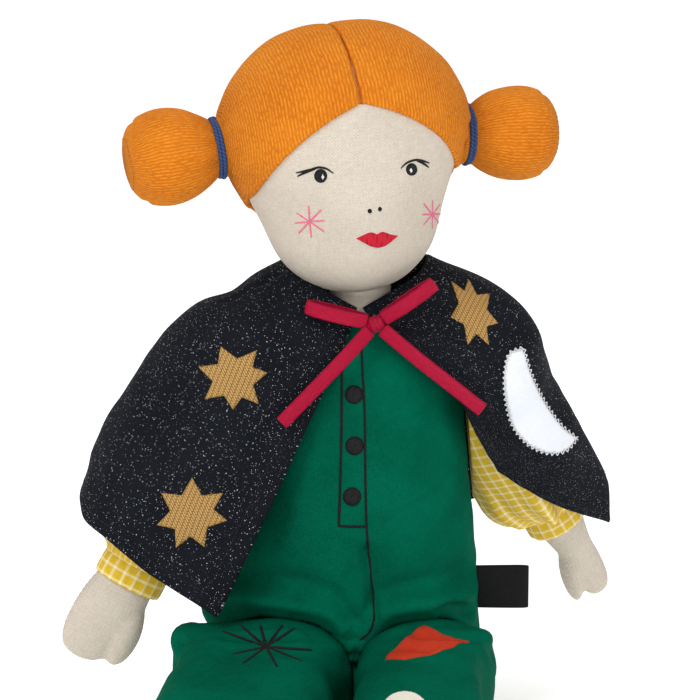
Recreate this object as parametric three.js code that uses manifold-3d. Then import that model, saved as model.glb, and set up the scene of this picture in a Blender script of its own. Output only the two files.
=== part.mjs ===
// Seated rag doll: stuffed linen head, arms and legs, a velour wig with two tied buns, a jumpsuit with
// gingham sleeves, and a short cape tied with a ribbon bow. Millimetres, +Z up. The doll faces -Y and
// its own left side is +X. The origin is the middle of the flat patch that it sits on.
import * as THREE from "three";
import { mergeVertices } from "three/addons/utils/BufferGeometryUtils.js";
import Module from "manifold-3d";

const wasm = await Module();
wasm.setup();

// Cloth and clearances.
const clearance = 0.4;
const skinWall = 1.0;
const garmentWall = 1.2;
const velourWall = 2.0;
const capeWall = 1.2;

// Torso, measured over the jumpsuit.
const torsoHeight = 184;
const torsoLean = 0.09;
const torsoAxisY = -11;
const seatWidth = 84;
const seatDepth = 58;
const hipWidth = 108;
const hipDepth = 79;
const chestWidth = 92;
const chestDepth = 62;
const shoulderWidth = 90;
const collarWidth = 44;
const collarDepth = 33;

// Neck and head. The head turns towards the doll's left.
const neckRadius = 13;
const neckShowing = 9;
const neckInset = 6;
const chinDrop = 1.5;
const headHeight = 110.5;
const headWidth = 101;
const headDepth = 88;
const faceWidth = 78;
const headTurn = 13;
const headRoll = -6;
const headShiftX = 2;
const hairPeakHeight = 86;
const hairSideHeight = 40;
const napeHeight = 16;

// Buns and the cords that tie them.
const bunLength = 39;
const bunRadius = 19.8;
const bunWaistRadius = 11.3;
const bunDroop = 7;
const tieCordRadius = 1.1;

// Arms, from the shoulder seam to the tip of the mitten.
const armLength = 149;
const armRadius = 12.5;
const wristWidth = 24.5;
const wristDepth = 19;
const handWidth = 25;
const handDepth = 16;
const thumbLength = 15;
const shoulderX = 45;
const shoulderDrop = 20;
const shoulderSetBack = 15;

// Sleeves: gathered on to the cuffs, set into round armholes.
const sleeveRadius = 24;
const sleeveRootRadius = 16;
const sleeveEnd = 103;
const cuffLength = 10;
const cuffWall = 1.5;

// Legs and trouser legs, lying forward from the hips.
const hipX = 31.2;
const hipY = -44;
const hipZ = 31;
const hipBallRadius = 30.5;
const trouserWidth = 63;
const trouserDepth = 64;
const trouserHemRadius = 25;
const trouserLength = 150;
const trouserPinch = 2;
const legLength = 176;
const kneeRadius = 18.5;
const ankleRadius = 14.5;
const legDip = 16;
const footLength = 52;
const footWidth = 31;
const footDepth = 29;

// Cape, ribbon and side tag.
const capeEase = 2.5;
const capeDrop = 117;
const capeSpread = 0.45;
const capeBackEase = 16;
const collarRing = 20;
const collarFlare = 18;
const collarRise = 23;
const ribbonWidth = 6;
const ribbonWall = 0.6;
const bowLoop = 29;
const bowTail = 56;
const bowShift = 6.5;
const bowStandOff = 11;
const tagLength = 20;
const tagWidth = 18;
const tagWall = 0.7;
const tagHeight = 64;

// Poses in the seated doll: arm directions and hand twists, how far each arm is drawn out and each sleeve
// pushed up, leg splay, how far the trouser leg spreads on the seat, and where each bun is sewn on.
const limbs = {
  left: {
    side: 1, armAim: [0.43, 0.38, -0.815], handTwist: 150, armDraw: 2, sleevePush: 10,
    legSplay: 0, trouserSpread: 0, bunHeight: 59, bunInset: 1.35,
  },
  right: {
    side: -1, armAim: [-0.47, -0.17, -0.87], handTwist: 0, armDraw: -3.5, sleevePush: 3,
    legSplay: 9, trouserSpread: 12, bunHeight: 68.5, bunInset: 0,
  },
};

const bowSides = [
  { name: "left", loopAim: [1, -0.05, 0.72], tailAim: [0.78, -0.2, -0.6] },
  { name: "right", loopAim: [-1, 0.06, 0.24], tailAim: [-0.72, -0.25, -0.72] },
];

const finish = (color, roughness) => new THREE.MeshStandardMaterial({ color, roughness, metalness: 0 });
const linen = finish("#d9d0c3", 0.9);
const stuffing = finish("#f2f0ea", 1.0);
const orangeVelour = finish("#d9801f", 0.85);
const blueCord = finish("#26406e", 0.7);
const greenCotton = finish("#006044", 0.75);
const yellowGingham = finish("#d8c04f", 0.85);
const blackGlitter = finish("#16171c", 0.6);
const redSatin = finish("#b80f35", 0.35);
const blackTape = finish("#101010", 0.8);

const vec = (x, y, z) => new THREE.Vector3(x, y, z);
const rad = THREE.MathUtils.degToRad;

// Solids: a three.js geometry as a closed solid, and back.
function solid(geometry) {
  const bare = new THREE.BufferGeometry().setAttribute("position", geometry.getAttribute("position"));
  bare.setIndex(geometry.index);
  const merged = mergeVertices(bare, 1e-4);
  const mesh = new wasm.Mesh({
    numProp: 3,
    vertProperties: merged.attributes.position.array,
    triVerts: new Uint32Array(merged.index.array),
  });
  return new wasm.Manifold(mesh);
}

function geometryOf(body) {
  const mesh = body.getMesh();
  const points = new Float32Array(mesh.numVert * 3);
  for (let i = 0; i < mesh.numVert; i++) {
    points.set(mesh.vertProperties.subarray(i * mesh.numProp, i * mesh.numProp + 3), i * 3);
  }
  return new THREE.BufferGeometry()
    .setAttribute("position", new THREE.BufferAttribute(points, 3))
    .setIndex(new THREE.BufferAttribute(mesh.triVerts, 1));
}

function box(low, high) {
  const size = high.clone().sub(low);
  const middle = low.clone().add(high).multiplyScalar(0.5);
  return solid(new THREE.BoxGeometry(size.x, size.y, size.z).translate(middle.x, middle.y, middle.z));
}

function cylinderX(radius, from, to, y = 0, z = 0) {
  const drum = new THREE.CylinderGeometry(radius, radius, to - from, 24);
  return solid(drum.rotateZ(Math.PI / 2).translate((from + to) / 2, y, z));
}

function cylinderZ(radius, from, to, x = 0, y = 0) {
  const drum = new THREE.CylinderGeometry(radius, radius, to - from, 24);
  return solid(drum.rotateX(Math.PI / 2).translate(x, y, (from + to) / 2));
}

function ball(radius, centre) {
  const globe = new THREE.SphereGeometry(radius, 16, 8);
  return solid(globe.translate(centre.x, centre.y, centre.z));
}

function ellipsoid(halves, centre) {
  const globe = new THREE.SphereGeometry(1, 8, 6).scale(...halves);
  return solid(globe.translate(centre.x, centre.y, centre.z));
}

// A closed skin over a stack of rings of points. A ring of one point is a pole.
function loft(rings) {
  const triangles = [];
  let start = 0;
  for (let i = 0; i + 1 < rings.length; i++) {
    const lower = rings[i].length;
    const upper = rings[i + 1].length;
    const count = Math.max(lower, upper);
    for (let k = 0; k < count; k++) {
      const next = (k + 1) % count;
      if (lower > 1) triangles.push(start + k, start + next, start + lower + (next % upper));
      if (upper > 1) triangles.push(start + (k % lower), start + lower + next, start + lower + k);
    }
    start += lower;
  }
  const geometry = new THREE.BufferGeometry().setFromPoints(rings.flat());
  return geometry.setIndex(triangles);
}

// A stuffed form along +Z. Stations are [along, half-width, half-depth], smoothed into one skin. An inset
// form lies inside it by that much, and a negative trim at an end carries it past that end.
function form(stations, { segments, rings, inset = 0, trim = [inset, inset] }) {
  const knots = stations.map(([along, width, depth]) => vec(width, depth, along));
  const samples = new THREE.CatmullRomCurve3(knots, false, "centripetal").getPoints(rings);
  const first = stations[0][0];
  const last = stations.at(-1)[0];
  const stretch = (last - trim[1] - first - trim[0]) / (last - first);
  const stack = [];
  for (const sample of samples) {
    const z = first + trim[0] + (sample.z - first) * stretch;
    const width = sample.x - inset;
    const depth = sample.y - inset;
    if (width < 0.5 || depth < 0.5) continue;
    const ring = [];
    for (let k = 0; k < segments; k++) {
      const angle = (k / segments) * 2 * Math.PI;
      ring.push(vec(width * Math.cos(angle), depth * Math.sin(angle), z));
    }
    stack.push(ring);
  }
  const pole = (z) => [vec(0, 0, z)];
  const low = Math.min(stack[0][0].z, first + trim[0]);
  const high = Math.max(stack.at(-1)[0].z, last - trim[1]);
  return loft([pole(low), ...stack, pole(high)]);
}

// The turn that lays a form's +Z along an aim, with its width kept level with a hint and then twisted.
function layAlong(aim, widthHint, twist = 0) {
  const along = aim.clone().normalize();
  const across = widthHint.clone().addScaledVector(along, -along.dot(widthHint)).normalize();
  across.applyAxisAngle(along, rad(twist));
  const through = along.clone().cross(across);
  return new THREE.Matrix4().makeBasis(across, through, along);
}

const doll = new THREE.Group();

function addPiece(parent, name, body, material) {
  const piece = new THREE.Mesh(body.isBufferGeometry ? body : geometryOf(body), material.clone());
  piece.name = name;
  parent.add(piece);
}

// Torso: a stuffed skin inside the jumpsuit's bodice, with a neck hole, armholes and room for the hips.
const torsoAxisAt = (z) => torsoAxisY + torsoLean * z;
const torsoStations = [
  [0, seatWidth / 2, seatDepth / 2],
  [0.07 * torsoHeight, 0.95 * (hipWidth / 2), 0.92 * (hipDepth / 2)],
  [0.2 * torsoHeight, hipWidth / 2, hipDepth / 2],
  [0.45 * torsoHeight, (hipWidth + chestWidth) / 4 + 1, (hipDepth + chestDepth) / 4 + 2],
  [0.78 * torsoHeight, chestWidth / 2, chestDepth / 2],
  [0.9 * torsoHeight, shoulderWidth / 2, 0.43 * chestDepth],
  [0.97 * torsoHeight, 0.8 * (shoulderWidth / 2), 0.34 * chestDepth],
  [torsoHeight, collarWidth / 2, collarDepth / 2],
];
const torsoHalves = (z) => {
  const upper = Math.max(torsoStations.findIndex(([along]) => along >= z), 1);
  const low = torsoStations[upper - 1];
  const high = torsoStations[upper];
  const share = (z - low[0]) / (high[0] - low[0]);
  return { width: low[1] + share * (high[1] - low[1]), depth: low[2] + share * (high[2] - low[2]) };
};
const shoulderZ = torsoHeight - shoulderDrop;
const shoulderY = torsoAxisY + shoulderSetBack;
const shoulderOf = (side) => vec(side * shoulderX, shoulderY, shoulderZ);
const sleeveStandOff = torsoHalves(shoulderZ - 3 * sleeveRadius).width + clearance - shoulderX;
const neckX = headShiftX;
const neckY = torsoAxisAt(torsoHeight);
const headPivot = vec(neckX, neckY, torsoHeight + neckShowing);

function torsoForm(inset, segments = 18) {
  const lean = new THREE.Matrix4().makeShear(0, 0, 0, 0, 0, torsoLean);
  const shape = form(torsoStations, { segments, rings: 10, inset });
  return solid(shape.applyMatrix4(lean).translate(0, torsoAxisY, 0));
}

// Room for the round tops of the trouser legs to swing down and up.
function hipRoom(slack) {
  const pocket = hipBallRadius + clearance + slack;
  const reach = hipX + hipWidth;
  const swing = box(vec(-reach, hipY - hipDepth, -torsoHeight), vec(reach, hipY + pocket, hipZ));
  return cylinderX(pocket, -reach, reach, hipY, hipZ).add(swing);
}

function buildTorso() {
  const layer = (inset) => torsoForm(inset).subtract(hipRoom(inset));
  const neckHole = cylinderZ(neckRadius + clearance, torsoHeight - neckInset, 2 * torsoHeight, neckX, neckY);
  const armhole = (from, to) => cylinderX(sleeveRootRadius + clearance, from, to, shoulderY, shoulderZ);
  const armholes = armhole(0.85 * shoulderX, hipWidth).add(armhole(-hipWidth, -0.85 * shoulderX));
  const skinInset = garmentWall + clearance;
  const fillInset = skinInset + skinWall + clearance;
  const bodice = layer(0).subtract(layer(garmentWall)).subtract(neckHole).subtract(armholes);
  const skin = layer(skinInset).subtract(layer(skinInset + skinWall)).subtract(neckHole);
  const fill = torsoForm(fillInset, 9).subtract(hipRoom(fillInset)).subtract(neckHole);
  addPiece(doll, "jumpsuit_bodice", bodice, greenCotton);
  addPiece(doll, "torso_skin", skin, linen);
  addPiece(doll, "torso_stuffing", fill, stuffing);
}

// Neck: a stuffed linen tube with a round top, on which the head nods.
function buildNeck() {
  const foot = torsoHeight - neckInset + clearance;
  const profile = new THREE.Path();
  profile.moveTo(0, foot);
  profile.lineTo(neckRadius, foot);
  profile.lineTo(neckRadius, headPivot.z);
  profile.absarc(0, headPivot.z, neckRadius, 0, Math.PI / 2);
  const tube = new THREE.LatheGeometry(profile.getPoints(2), 16);
  addPiece(doll, "neck", solid(tube.rotateX(Math.PI / 2).translate(neckX, neckY, 0)), linen);
}

// Head: a stuffed linen ball with a velour wig in two halves, parted in the middle.
const headStations = [
  [0, 0, 0],
  [0.02 * headHeight, 0.3 * (faceWidth / 2), 0.3 * (headDepth / 2)],
  [0.06 * headHeight, 0.56 * (faceWidth / 2), 0.52 * (headDepth / 2)],
  [0.16 * headHeight, 0.82 * (faceWidth / 2), 0.75 * (headDepth / 2)],
  [0.33 * headHeight, faceWidth / 2, 0.9 * (headDepth / 2)],
  [0.5 * headHeight, (faceWidth + 2 * headWidth) / 6, 0.98 * (headDepth / 2)],
  [0.64 * headHeight, headWidth / 2, headDepth / 2],
  [0.79 * headHeight, 0.9 * (headWidth / 2), 0.92 * (headDepth / 2)],
  [0.91 * headHeight, 0.64 * (headWidth / 2), 0.66 * (headDepth / 2)],
  [0.975 * headHeight, 0.34 * (headWidth / 2), 0.35 * (headDepth / 2)],
  [headHeight, 0, 0],
];

function headForm(inset, segments = 20) {
  return solid(form(headStations, { segments, rings: 12, inset }));
}

// What the wig leaves bare: the face below the hairline, and the nape.
function faceOpening() {
  const side = headWidth;
  const outline = new THREE.Shape();
  outline.moveTo(0, hairPeakHeight);
  outline.quadraticCurveTo(-0.396 * headWidth, 0.837 * hairPeakHeight, -0.436 * headWidth, hairSideHeight);
  outline.lineTo(-side, hairSideHeight);
  outline.lineTo(-side, -headHeight);
  outline.lineTo(side, -headHeight);
  outline.lineTo(side, hairSideHeight);
  outline.lineTo(0.436 * headWidth, hairSideHeight);
  outline.quadraticCurveTo(0.396 * headWidth, 0.837 * hairPeakHeight, 0, hairPeakHeight);
  const front = new THREE.ExtrudeGeometry(outline, { depth: headDepth, bevelEnabled: false, curveSegments: 6 });
  const face = solid(front.rotateX(Math.PI / 2));
  const behind = new THREE.Shape();
  behind.moveTo(-headDepth, -headHeight);
  behind.lineTo(headDepth, -headHeight);
  behind.lineTo(headDepth, napeHeight);
  behind.lineTo(0.4 * headDepth, napeHeight);
  behind.lineTo(0, hairSideHeight);
  behind.lineTo(-headDepth, hairSideHeight);
  behind.closePath();
  const nape = new THREE.ExtrudeGeometry(behind, { depth: 2 * side, bevelEnabled: false }).translate(0, 0, -side);
  nape.applyMatrix4(new THREE.Matrix4().makeBasis(vec(0, 1, 0), vec(0, 0, 1), vec(1, 0, 0)));
  return face.add(solid(nape));
}

// A bun lies along +X from its tie, and is open there.
function bunForm(inset, opened) {
  const stations = [
    [0, bunWaistRadius, bunWaistRadius],
    [0.08 * bunLength, bunWaistRadius, bunWaistRadius],
    [0.22 * bunLength, 0.83 * bunRadius, 0.83 * bunRadius],
    [0.48 * bunLength, bunRadius, bunRadius],
    [0.74 * bunLength, 0.9 * bunRadius, 0.9 * bunRadius],
    [0.93 * bunLength, 0.56 * bunRadius, 0.56 * bunRadius],
    [bunLength, 0.15 * bunRadius, 0.15 * bunRadius],
  ];
  const trim = [opened ? -clearance : 0, inset];
  return form(stations, { segments: 12, rings: 7, inset, trim });
}

function buildHead() {
  const head = new THREE.Group();
  head.position.set(headPivot.x, headPivot.y, headPivot.z - chinDrop);
  head.rotation.set(0, rad(headRoll), rad(headTurn), "ZYX");
  doll.add(head);
  const socket = (slack) => ball(neckRadius + 2 * clearance + slack, vec(0, 0, chinDrop));
  const skin = headForm(0).subtract(headForm(skinWall)).subtract(socket(0));
  const fill = headForm(skinWall + clearance, 10).subtract(socket(clearance));
  addPiece(head, "head_skin", skin, linen);
  addPiece(head, "head_stuffing", fill, stuffing);

  const wig = headForm(-clearance - velourWall).subtract(headForm(-clearance));
  const trimmed = wig.subtract(faceOpening());
  const seam = clearance / 2;
  for (const [name, { side, bunHeight, bunInset }] of Object.entries(limbs)) {
    const inner = Math.min(-side * headWidth, side * seam);
    const outer = Math.max(-side * headWidth, side * seam);
    const otherHalf = box(vec(inner, -headDepth, -headHeight), vec(outer, headDepth, 2 * headHeight));
    addPiece(head, `hair_${name}`, trimmed.subtract(otherHalf), orangeVelour);

    const bun = new THREE.Group();
    bun.position.set(side * (headWidth / 2 + velourWall + 2 * clearance - bunInset), 0, bunHeight);
    bun.rotation.y = side * rad(90 + bunDroop);
    head.add(bun);
    const cover = solid(bunForm(0, false)).subtract(solid(bunForm(skinWall, true)));
    addPiece(bun, `bun_${name}`, cover, orangeVelour);
    addPiece(bun, `bun_stuffing_${name}`, bunForm(skinWall + clearance, false), stuffing);
    const ring = bunWaistRadius + clearance + tieCordRadius;
    const tie = new THREE.TorusGeometry(ring, tieCordRadius, 5, 14).translate(0, 0, tieCordRadius);
    addPiece(bun, `bun_tie_${name}`, solid(tie), blueCord);
  }
}

// Arms: a stuffed mitten-handed arm in a gathered sleeve and cuff. Each is built about its shoulder, where
// everything inside the plane of the armhole is cut away, so that it can swing.
function armForm(inset, turn, reach, cuffAt) {
  const root = armRadius;
  const stations = [
    [-root, 0, 0],
    [-0.8 * root, 0.6 * root, 0.6 * root],
    [-0.4 * root, 0.92 * root, 0.92 * root],
    [0, root, root],
    [0.4 * reach, root, 0.92 * root],
    [cuffAt + cuffLength / 2, wristWidth / 2, wristDepth / 2],
    [0.86 * reach, handWidth / 2, handDepth / 2],
    [0.965 * reach, 0.66 * (handWidth / 2), 0.7 * (handDepth / 2)],
    [reach, 0, 0],
  ];
  const shape = form(stations, { segments: 10, rings: 10, inset });
  const thumbAt = vec(0.42 * handWidth, 0, reach - 1.15 * thumbLength);
  const halves = [0.26 * handWidth - inset, 0.46 * handDepth - inset, thumbLength - inset];
  const whole = solid(shape).add(ellipsoid(halves, thumbAt));
  return solid(geometryOf(whole).applyMatrix4(turn));
}

function sleeveForm(inset, turn, end, opened) {
  const root = sleeveRootRadius;
  const stations = [
    [-root, 0, 0],
    [-0.8 * root, 0.6 * root, 0.6 * root],
    [-0.4 * root, 0.92 * root, 0.92 * root],
    [0, root, root],
    [0.12 * end, (root + sleeveRadius) / 2, (root + sleeveRadius) / 2],
    [0.36 * end, sleeveRadius, sleeveRadius],
    [0.72 * end, 0.98 * sleeveRadius, 0.95 * sleeveRadius],
    [0.93 * end, wristWidth / 2 + 4, wristDepth / 2 + 4.5],
    [end, wristWidth / 2 + clearance + cuffWall, wristDepth / 2 + clearance + cuffWall],
  ];
  const trim = [inset, opened ? -cuffLength : 0];
  return solid(form(stations, { segments: 14, rings: 9, inset, trim }).applyMatrix4(turn));
}

function buildArm(name, { side, armAim, handTwist, armDraw, sleevePush }) {
  const arm = new THREE.Group();
  arm.position.copy(shoulderOf(side));
  doll.add(arm);
  const turn = layAlong(vec(...armAim), vec(-side, 0, 0), side * handTwist);
  const far = 2 * armLength;
  const inside = (depth) => {
    const low = Math.min(side * depth, -side * far);
    const high = Math.max(side * depth, -side * far);
    return box(vec(low, -far, -far), vec(high, far, far));
  };
  // Clear of the bodice, but for a round root that reaches in through the armhole.
  const setIn = (body, rootRadius, standOff, rootStart = clearance) => {
    const root = body.intersect(cylinderX(rootRadius, -far, far)).subtract(inside(rootStart));
    return body.subtract(inside(standOff)).add(root);
  };
  const armStandOff = sleeveStandOff + garmentWall + clearance;
  const armRoot = armRadius + clearance;
  const end = sleeveEnd - sleevePush;
  const limb = (inset) => armForm(inset, turn, armLength + armDraw, end);
  const skin = setIn(limb(0), armRoot, armStandOff);
  const bore = setIn(limb(skinWall), armRoot - skinWall, armStandOff + skinWall, -clearance);
  const fillGap = skinWall + clearance;
  const fill = setIn(limb(fillGap), armRoot - fillGap, armStandOff + fillGap);
  addPiece(arm, `arm_skin_${name}`, skin.subtract(bore), linen);
  addPiece(arm, `arm_stuffing_${name}`, fill, stuffing);

  const puff = setIn(sleeveForm(0, turn, end, false), sleeveRootRadius, sleeveStandOff);
  const throat = sleeveRootRadius - garmentWall;
  const within = sleeveForm(garmentWall, turn, end, true);
  const hollow = setIn(within, throat, sleeveStandOff + garmentWall, -clearance);
  addPiece(arm, `sleeve_${name}`, puff.subtract(hollow), yellowGingham);

  const band = (extra, from, to) => {
    const flat = [
      [from, wristWidth / 2 + extra, wristDepth / 2 + extra],
      [to, wristWidth / 2 + extra, wristDepth / 2 + extra],
    ];
    return solid(form(flat, { segments: 12, rings: 1 }).applyMatrix4(turn));
  };
  const cuffFrom = end + clearance;
  const cuffTo = cuffFrom + cuffLength;
  const opening = band(2 * clearance, cuffFrom - cuffLength, cuffTo + cuffLength);
  addPiece(arm, `cuff_${name}`, band(2 * clearance + cuffWall, cuffFrom, cuffTo).subtract(opening), yellowGingham);
}

// Legs: a stuffed leg with an upturned foot inside a loose trouser leg, on a round hip. The trouser's
// underside is cut flat where it lies on the floor.
const legSlope = new THREE.Matrix4().makeRotationX(Math.atan(legDip / trouserLength));

function legForm(inset) {
  const root = 0.86 * hipBallRadius;
  const stations = [
    [-root, 0, 0],
    [-0.8 * root, 0.6 * root, 0.6 * root],
    [-0.4 * root, 0.92 * root, 0.92 * root],
    [0, 0.98 * root, 0.98 * root],
    [0.2 * legLength, 1.1 * kneeRadius, 1.1 * kneeRadius],
    [0.5 * legLength, kneeRadius, kneeRadius],
    [0.85 * legLength, ankleRadius, ankleRadius],
    [0.96 * legLength, 0.9 * ankleRadius, 0.9 * ankleRadius],
    [legLength, 0.3 * ankleRadius, 0.3 * ankleRadius],
  ];
  const shape = solid(form(stations, { segments: 10, rings: 10, inset }).applyMatrix4(legSlope));
  const heelDip = (legDip / trouserLength) * legLength;
  const footAt = vec(0, 0.3 * footLength - heelDip, legLength - 0.3 * footDepth);
  const halves = [footWidth / 2 - inset, footLength / 2 - inset, footDepth / 2 - inset];
  return shape.add(ellipsoid(halves, footAt));
}

function trouserForm(inset, spread, opened) {
  const root = hipBallRadius;
  const neck = 0.4 * root;
  const wide = (trouserWidth + spread) / 2;
  const stations = [
    [-root, 0, 0],
    [-0.8 * root, 0.6 * root, 0.6 * root],
    [-0.4 * root, 0.915 * root, 0.915 * root],
    [0, root, root],
    [neck, root - trouserPinch, root - trouserPinch],
    [0.33 * trouserLength, wide, trouserDepth / 2],
    [0.7 * trouserLength, 0.96 * wide, 0.97 * (trouserDepth / 2)],
    [trouserLength, trouserHemRadius, trouserHemRadius],
  ];
  const trim = [inset, opened ? -inset : 0];
  return solid(form(stations, { segments: 16, rings: 9, inset, trim }).applyMatrix4(legSlope));
}

function buildLeg(name, { side, legSplay, trouserSpread }) {
  const leg = new THREE.Group();
  leg.position.set(side * hipX, hipY, hipZ);
  doll.add(leg);
  const aim = vec(side * Math.sin(rad(legSplay)), -Math.cos(rad(legSplay)), 0);
  const turn = layAlong(aim, vec(1, 0, 0));
  const far = 2 * legLength;
  const below = (height) => box(vec(-far, -far, -far), vec(far, far, height - hipZ));
  const place = (body, height) => solid(geometryOf(body).applyMatrix4(turn)).subtract(below(height));
  const rootEnd = new THREE.BoxGeometry(far, far, far).translate(0, 0, -far / 2 - 0.7 * hipBallRadius);
  const rootSeam = solid(rootEnd.applyMatrix4(turn));
  const legAt = (inset) => place(legForm(inset), garmentWall + clearance + inset);
  const cloth = place(trouserForm(0, trouserSpread, false), 0);
  const room = place(trouserForm(garmentWall, trouserSpread, true), garmentWall);
  addPiece(leg, `leg_skin_${name}`, legAt(0).subtract(legAt(skinWall)).subtract(rootSeam), linen);
  addPiece(leg, `leg_stuffing_${name}`, legAt(skinWall + clearance).subtract(rootSeam), stuffing);
  addPiece(leg, `trouser_leg_${name}`, cloth.subtract(room), greenCotton);
}

// A thick sheet through a net of points, smoothed both ways. Ribs run from the first edge to the last.
function clothSheet(ribs, across, along) {
  const smooth = (points, count) => new THREE.CatmullRomCurve3(points, false, "centripetal").getPoints(count);
  const rails = ribs.map((rib) => smooth(rib, along));
  const rows = [];
  for (let j = 0; j <= along; j++) rows.push(smooth(rails.map((rail) => rail[j]), across));
  const at = (j, i) => rows[THREE.MathUtils.clamp(j, 0, along)][THREE.MathUtils.clamp(i, 0, across)];
  const top = [];
  const under = [];
  for (let j = 0; j <= along; j++) {
    for (let i = 0; i <= across; i++) {
      const sideways = at(j, i + 1).clone().sub(at(j, i - 1));
      const down = at(j + 1, i).clone().sub(at(j - 1, i));
      const normal = sideways.cross(down).normalize();
      top.push(at(j, i).clone().addScaledVector(normal, capeWall / 2));
      under.push(at(j, i).clone().addScaledVector(normal, -capeWall / 2));
    }
  }
  const width = across + 1;
  const flip = top.length;
  const triangles = [];
  const quad = (a, b, c, d) => triangles.push(a, b, c, a, c, d);
  for (let j = 0; j < along; j++) {
    for (let i = 0; i < across; i++) {
      const corner = j * width + i;
      quad(corner, corner + 1, corner + width + 1, corner + width);
      quad(flip + corner, flip + corner + width, flip + corner + width + 1, flip + corner + 1);
    }
  }
  const rim = [];
  for (let i = 0; i < across; i++) rim.push(i);
  for (let j = 0; j < along; j++) rim.push(j * width + across);
  for (let i = across; i > 0; i--) rim.push(along * width + i);
  for (let j = along; j > 0; j--) rim.push(j * width);
  rim.forEach((here, k) => {
    const next = rim[(k + 1) % rim.length];
    quad(next, here, flip + here, flip + next);
  });
  return new THREE.BufferGeometry().setFromPoints([...top, ...under]).setIndex(triangles);
}

// Cape: two halves that meet at the middle of the back. A rib runs from the collar to the hem, and follows
// the chest, the arm under it, or the back.
function capeGuides({ side, armAim }) {
  const aim = vec(...armAim).normalize();
  const outward = vec(side, 0, 0).addScaledVector(aim, -side * aim.x).normalize();
  const forward = vec(0, -1, 0).addScaledVector(aim, aim.y);
  forward.addScaledVector(outward, -forward.dot(outward)).normalize();
  const collar = (angle) => {
    const flare = Math.sin(rad(angle / 2));
    const ring = collarRing + collarFlare * flare;
    return vec(
      neckX + side * ring * Math.sin(rad(angle)),
      neckY - ring * Math.cos(rad(angle)),
      torsoHeight + 2 + collarRise * flare);
  };
  const overArm = (along, angle, lift = 0) => {
    const reach = sleeveRadius + capeEase + lift;
    return shoulderOf(side)
      .addScaledVector(aim, along)
      .addScaledVector(outward, reach * Math.cos(rad(angle)))
      .addScaledVector(forward, reach * Math.sin(rad(angle)));
  };
  const onChest = (drop, x, lift = 0) => {
    const z = torsoHeight - drop;
    return vec(side * x, torsoAxisAt(z) - torsoHalves(z).depth - 2 * capeEase - lift, z);
  };
  const onBack = (drop, x, lift = 0) => {
    const z = torsoHeight - drop;
    return vec(side * (x + clearance / 2), torsoAxisAt(z) + torsoHalves(z).depth + capeBackEase + lift, z);
  };
  return { collar, overArm, onChest, onBack };
}

// A rib over the arm: a cap on the shoulder, two rows and the hem, each with its own lift off the sleeve.
const capRow = -0.06 * sleeveEnd;
const upperRow = 0.36;
const lowerRow = 0.69;
const backRows = [0.03, 0.28, 0.6, 0.88];

function capeRibs(half) {
  const { collar, overArm, onChest, onBack } = capeGuides(half);
  const edge = (share) => onChest(share * capeDrop, capeSpread * share * capeDrop);
  const onArm = (angle, hem, lifts) =>
    [capRow, upperRow * hem, lowerRow * hem, hem].map((along, k) => overArm(along, angle, lifts[k]));
  const down = (x, lifts) => backRows.map((share, k) => onBack(share * capeDrop, x[k], lifts[k]));
  const backEdge = [collar(180), ...down([0, 0, 0, 0], [2, 0, 0, 0])];
  backEdge[0].x = (half.side * clearance) / 2;
  if (half.side > 0) {
    return [
      [collar(5), onChest(15, 27, 2), overArm(-4, 92, 6), overArm(17, 92, 9), overArm(43, 97, 3)],
      [collar(65), ...onArm(62, 79, [5, 1, 1.5, 1.5])],
      [collar(85), ...onArm(28, 98, [5, 0, 0, 0])],
      [collar(105), ...onArm(-4, 95, [5, 1, 2, 0])],
      [collar(125), ...onArm(-40, 97, [5, 2, 1, 1])],
      [collar(145), ...onArm(-74, 100, [10, 4, 6, 9])],
      [collar(162), ...down([18, 36, 46, 52], [2, 6, 13, 19])],
      backEdge,
    ];
  }
  return [
    [collar(5), edge(0.1), edge(0.4), edge(0.7), edge(1)],
    [collar(40), ...onArm(98, 98, [9, 4, 5, 3])],
    [collar(65), ...onArm(62, 101, [7, 2, 5, 6])],
    [collar(85), ...onArm(28, 98, [4, 7, 7, 2])],
    [collar(105), ...onArm(-4, 93, [3, 12, 10, 3])],
    [collar(125), ...onArm(-40, 95, [4, 9, 8, 3])],
    [collar(145), ...down([38, 60, 72, 78], [-4, 2, 8, 12])],
    [collar(162), ...down([18, 34, 40, 44], [2, 3, 3, 2])],
    backEdge,
  ];
}

function buildCape() {
  for (const [name, half] of Object.entries(limbs)) {
    addPiece(doll, `cape_${name}`, clothSheet(capeRibs(half), 14, 8), blackGlitter);
  }
}

// A flat ribbon along a path, its width kept level with a hint.
function ribbon(path, widthHint, steps) {
  const curve = new THREE.CatmullRomCurve3(path, false, "centripetal");
  const rings = [];
  for (let i = 0; i <= steps; i++) {
    const at = curve.getPointAt(i / steps);
    const along = curve.getTangentAt(i / steps);
    const across = widthHint.clone().addScaledVector(along, -along.dot(widthHint)).normalize();
    const through = along.clone().cross(across);
    const corner = (a, b) => at.clone()
      .addScaledVector(across, (a * ribbonWidth) / 2)
      .addScaledVector(through, (b * ribbonWall) / 2);
    rings.push([corner(1, 1), corner(-1, 1), corner(-1, -1), corner(1, -1)]);
  }
  const middle = (ring) => [ring[0].clone().add(ring[2]).multiplyScalar(0.5)];
  return loft([middle(rings[0]), ...rings, middle(rings.at(-1))]);
}

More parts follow.
